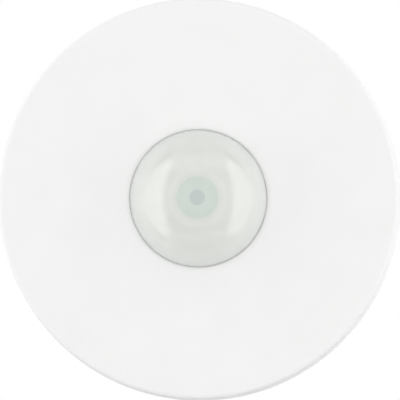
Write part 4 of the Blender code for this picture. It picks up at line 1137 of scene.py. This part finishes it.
def alarm_relay():
    """A sealed relay: cap over a base, with a vent nib, a notch and eight pins."""
    spot = Spot("alarm_relay")
    split = spot.z0 + 1.1
    cap = slab(spot.at, spot.size.xy, split + 0.12, spot.z1, 0.45, 3)
    inset = spot.size.xy - Vector((0.4, 0.4))
    base = slab(spot.at, inset, SEAT_Z, split + 0.6, 0.1)
    nib = rod(0.5, spot.z1 - 0.5, spot.z1 + 0.2, (spot.x, spot.high.y - 1.6), 0.1, 24)
    notch = rod(0.8, spot.z1 - 0.25, spot.z1 + PAST, (spot.x, spot.low.y), segments=32)
    piece("relay_case", fused(cap, [base, nib], [notch]), "epoxy", "alarm_relay")
    pins = []
    for side in (-1, 1):
        for step in range(4):
            at = spot.beside(side * 2.5, (step - 1.5) * RELAY_PIN_PITCH)
            pins += [slab(at, (0.25, 0.5), BOARD.z0 - 1.5, BOARD_TOP + 0.5), solder_bead(at, 0.6, 0.15)]
    piece("relay_pins", pins, "solder")


def electrolytic(node):
    """A crimped aluminium can on a black base with two cut corners."""
    spot = Spot(node)
    half, cut = spot.size.x / 2, 1.3
    base_z = BOARD_TOP + 0.1
    outline = [(-half, -half), (half - cut, -half), (half, cut - half)]
    outline += [(half, half - cut), (half - cut, half), (-half, half)]
    base = prism([spot.beside(x, y) for x, y in outline], base_z, spot.z0 + 0.8)
    wall = [block((-half, y - 0.5, base_z), (-half + 0.5, y + 0.5, spot.z0 + 1.5), 0.1)
            for y in (-half + 0.5, half - 0.5)]
    feet = [shifted(shape, *spot.at) for shape in wall]
    piece(f"{node}_base", fused(base, feet), "epoxy")

    radius, low, top = 3.1, spot.z0 + 0.7, spot.z1
    crimp = low + 1.3
    profile = [(0, top - 0.1), (radius - 0.9, top - 0.1), (radius - 0.8, top)]
    profile += arc(radius - 0.4, top - 0.4, 0.4, 90, 0, 5)
    profile += arc(radius + 0.1, crimp, 0.35, 120, 240, 6) + [(radius, low), (0, low)]
    scores = [slab(spot.at, (2 * radius, 0.12), top - 0.16, top - 0.02)]
    scores.append(slab(spot.at, (0.12, 2 * radius), top - 0.16, top - 0.02))
    piece(f"{node}_can", fused(lathe(profile, 96, spot.at), cuts=scores), "aluminium", node)
    mark = prism(arc(*spot.at, 2.1, 125, 235, 12), top - 0.14, top - 0.07)
    piece(f"{node}_mark", mark, "epoxy")
    tabs = [slab(spot.beside(0, y), (0.7, 1.4), BOARD_TOP, base_z + 0.1)
            for y in (-half - 0.3, half + 0.3)]
    piece(f"{node}_tabs", tabs, "solder")


# ---- chips
LEG_REACH = 1.2
LEG_PITCH = 1.27
LEG_WIDTH, LEG_THICKNESS = 0.42, 0.18


def legged_chip(node, legs, on_end=False):
    """A moulded package with a first-pin dimple and gull-wing legs; on_end turns it upright."""
    spot = Spot(node)
    length, across = (spot.size.y, spot.size.x) if on_end else (spot.size.x, spot.size.y)
    half, low, top = across / 2 - LEG_REACH, PAD_TOP + 0.15, spot.z1
    body = block((-length / 2, -half, low), (length / 2, half, top), 0.12)
    for vert in body.verts:
        lift = abs(vert.co.z - (low + top) / 2) / (top - low)
        vert.co.y *= 1 - 0.10 * lift
    dimple = rod(0.35, top - 0.08, top + PAST, (-length / 2 + 0.8, -half + 0.8), segments=32)
    shoulder, foot = (low + top) / 2, PAD_TOP + 0.1
    bends = ((-0.15, shoulder), (0.35, shoulder), (0.55, foot), (1.15, foot))
    bends = [(half + reach, z) for reach, z in bends]
    wings, pads = [], []
    for side in (-1, 1):
        for index in range(legs):
            u = (index - (legs - 1) / 2) * LEG_PITCH
            leg = ribbon(bends, LEG_THICKNESS, u - LEG_WIDTH / 2, u + LEG_WIDTH / 2)
            for vert in leg.verts:
                v, z, along = vert.co
                vert.co = (along, side * v, z)
            wings.append(leg)
            pads.append(slab((u, side * (half + 0.85)), (0.6, 1.3), BOARD_TOP, PAD_TOP))
    shapes = [fused(body, cuts=[dimple]), gathered(wings + pads)]
    for shape in shapes:
        if on_end:
            spun(shape, 90)
        shifted(shape, *spot.at)
    piece(f"{node}_body", shapes[0], "epoxy", node)
    piece(f"{node}_legs", shapes[1], "solder")


def capped_chip(node, look, cap_share=0.2):
    """A ceramic or moulded body between two soldered end caps."""
    spot = Spot(node)
    cap, skin = spot.size.x * cap_share, 0.03
    low, top = PAD_TOP, spot.z1
    (x0, y0), (x1, y1) = spot.low.xy, spot.high.xy
    body = block((x0 + skin, y0 + skin, low + skin), (x1 - skin, y1 - skin, top - skin), 0.05)
    ends = []
    for a, b, edge, outward in ((x0, x0 + cap, x0, -1), (x1 - cap, x1, x1, 1)):
        ends.append(block((a, y0, low), (b, y1, top), 0.06))
        fillet = [(0, 0), (0.45, 0), (0.12, 0.25), (0, 0.6 * (top - low))]
        wedge = [(edge + outward * (x - 0.05), z + BOARD_TOP) for x, z in fillet]
        ends.append(upright(prism(wedge, -y1, -y0)))
    piece(f"{node}_body", body, look, node)
    piece(f"{node}_caps", ends, "solder")


# ---- adjusters
TRIMMER = Spot("trimmer_body")
DIP = Spot("dip_switch_body")
TAMPER = Spot("tamper_plunger")


def range_trimmer():
    """The trimmer: body with a well and a scale of moulded ticks, and its cross-slot rotor."""
    well, rotor = 2.5, Spot("trimmer_rotor")
    top = TRIMMER.z1
    body = slab(TRIMMER.at, TRIMMER.size.xy, SEAT_Z, top, 0.35, 3)
    cuts = [rod(well, TRIMMER.z0 + 1.2, top + PAST, TRIMMER.at, segments=64)]
    for step in range(7):
        tick = block((well + 0.1, -0.07, top - 0.1), (well + 0.5, 0.07, top + PAST))
        cuts.append(shifted(spun(tick, -45 + 45 * step), *TRIMMER.at))
    piece("trimmer_case", fused(body, cuts=cuts), "trimmer", "trimmer_body")
    disc = rod(rotor.radius, rotor.z0, rotor.z1, rotor.at, 0.2, 64)
    arms = [slab(rotor.at, size, rotor.z1 - 0.8, rotor.z1 + PAST) for size in ((3.2, 0.6), (0.6, 3.2))]
    arrow = [rotor.beside(x, y) for x, y in ((-0.35, 1.4), (0.35, 1.4), (0, 2.0))]
    pointer = prism(arrow, rotor.z1 - 0.3, rotor.z1 + PAST)
    piece("trimmer_dial", fused(disc, cuts=[*arms, pointer]), "white", "trimmer_rotor", body="range_rotor")
    leads = [slab(TRIMMER.beside(x, y), (0.5, 0.3), BOARD_TOP - 2, SEAT_Z + 0.3)
             for x, y in ((-2.5, -2.5), (2.5, -2.5), (0, 2.5))]
    piece("trimmer_leads", leads, "solder")


DIP_WAYS = 3


def option_switch():
    """The switch with its row of sliders, and the pins on both sides."""
    body = slab(DIP.at, DIP.size.xy, SEAT_Z, DIP.z1, 0.25)
    slots, pins = [], []
    for number in range(1, DIP_WAYS + 1):
        node = f"dip_slider_{number}"
        slider = Spot(node)
        y = slider.y
        slots.append(slab((DIP.x, y), (3.6, 1.5), DIP.z0 + 1.2, DIP.z1 + PAST))
        for side in (-1, 1):
            pins.append(slab((DIP.x + side * 3.55, y), (0.9, 0.5), PAD_TOP, PAD_TOP + FOOT, 0.04))
            pins.append(slab((DIP.x + side * 3.7, y), (1.4, 0.8), BOARD_TOP, PAD_TOP))
        knob = slab(slider.at, slider.size.xy, slider.z0, slider.z1, 0.15, 3)
        grip = slab(slider.at, (0.25, 2), slider.z1 - 0.12, slider.z1 + PAST)
        piece(f"dip_knob_{number}", fused(knob, cuts=[grip]), "white", node, body=node)
    piece("dip_case", fused(body, cuts=slots), "red", "dip_switch_body")
    piece("dip_pins", pins, "solder")


def tamper_switch():
    """The switch under the cover's post: body with a well, rivets and feet, and its plunger."""
    spot = Spot("tamper_switch_body")
    body = slab(spot.at, spot.size.xy, SEAT_Z, spot.z1, 0.3, 3)
    well = rod(2.0, spot.z0 + 1.2, spot.z1 + PAST, spot.at, segments=64)
    corners = [(x, y) for x in (-1, 1) for y in (-1, 1)]
    rivets = [rod(0.45, spot.z1 - 0.5, spot.z1 + 0.12, spot.beside(x * 2.3, y * 2.3), 0.1, 24)
              for x, y in corners]
    piece("tamper_case", fused(body, rivets, [well]), "epoxy", "tamper_switch_body")
    button = rod(TAMPER.radius, TAMPER.z0, TAMPER.z1, TAMPER.at, 0.45, 64)
    piece("tamper_button", button, "white", "tamper_plunger", body="tamper_plunger")
    feet = [slab(spot.beside(x * 3.6, y * 2.0), (1.0, 0.7), BOARD_TOP, PAD_TOP + FOOT, 0.05)
            for x, y in corners]
    piece("tamper_feet", feet, "solder")


# ---- CAD nodes that stay
def repaint(node, look):
    """Gives a CAD node that stays in view its finished material."""
    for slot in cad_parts[node].material_slots:
        slot.material = LOOKS[look].material


# ---- the whole object
LOOKS = make_looks()
studio_camera()
studio_lights()
studio_surround()
studio_floor()

front_cover()
fresnel_lens()
lens_retainer()
rear_housing()
mounting_plate()
cable_grommet()
circuit_board()
pyro_sensor()
sensor_gasket()
status_led()
terminal_block()
alarm_relay()
electrolytic("capacitor_1")
electrolytic("capacitor_2")
legged_chip("microcontroller", 7, on_end=True)
legged_chip("amplifier_chip", 4)
capped_chip("voltage_regulator", "epoxy", 0.15)
capped_chip("surge_diode", "epoxy", 0.15)
for node in RESISTORS:
    capped_chip(node, "alumina")
for node in CHIP_CAPACITORS:
    capped_chip(node, "brown")
range_trimmer()
option_switch()
tamper_switch()
for number in range(1, 4):
    pan_screw(f"board_screw_{number}", "sensor_body", 1.3)
    pan_screw(f"retainer_screw_{number}", "front_cover", 1.2, upwards=False)
repaint("pyro_spacer", "white")
repaint("pyro_header", "can")
repaint("pyro_window", "filter")
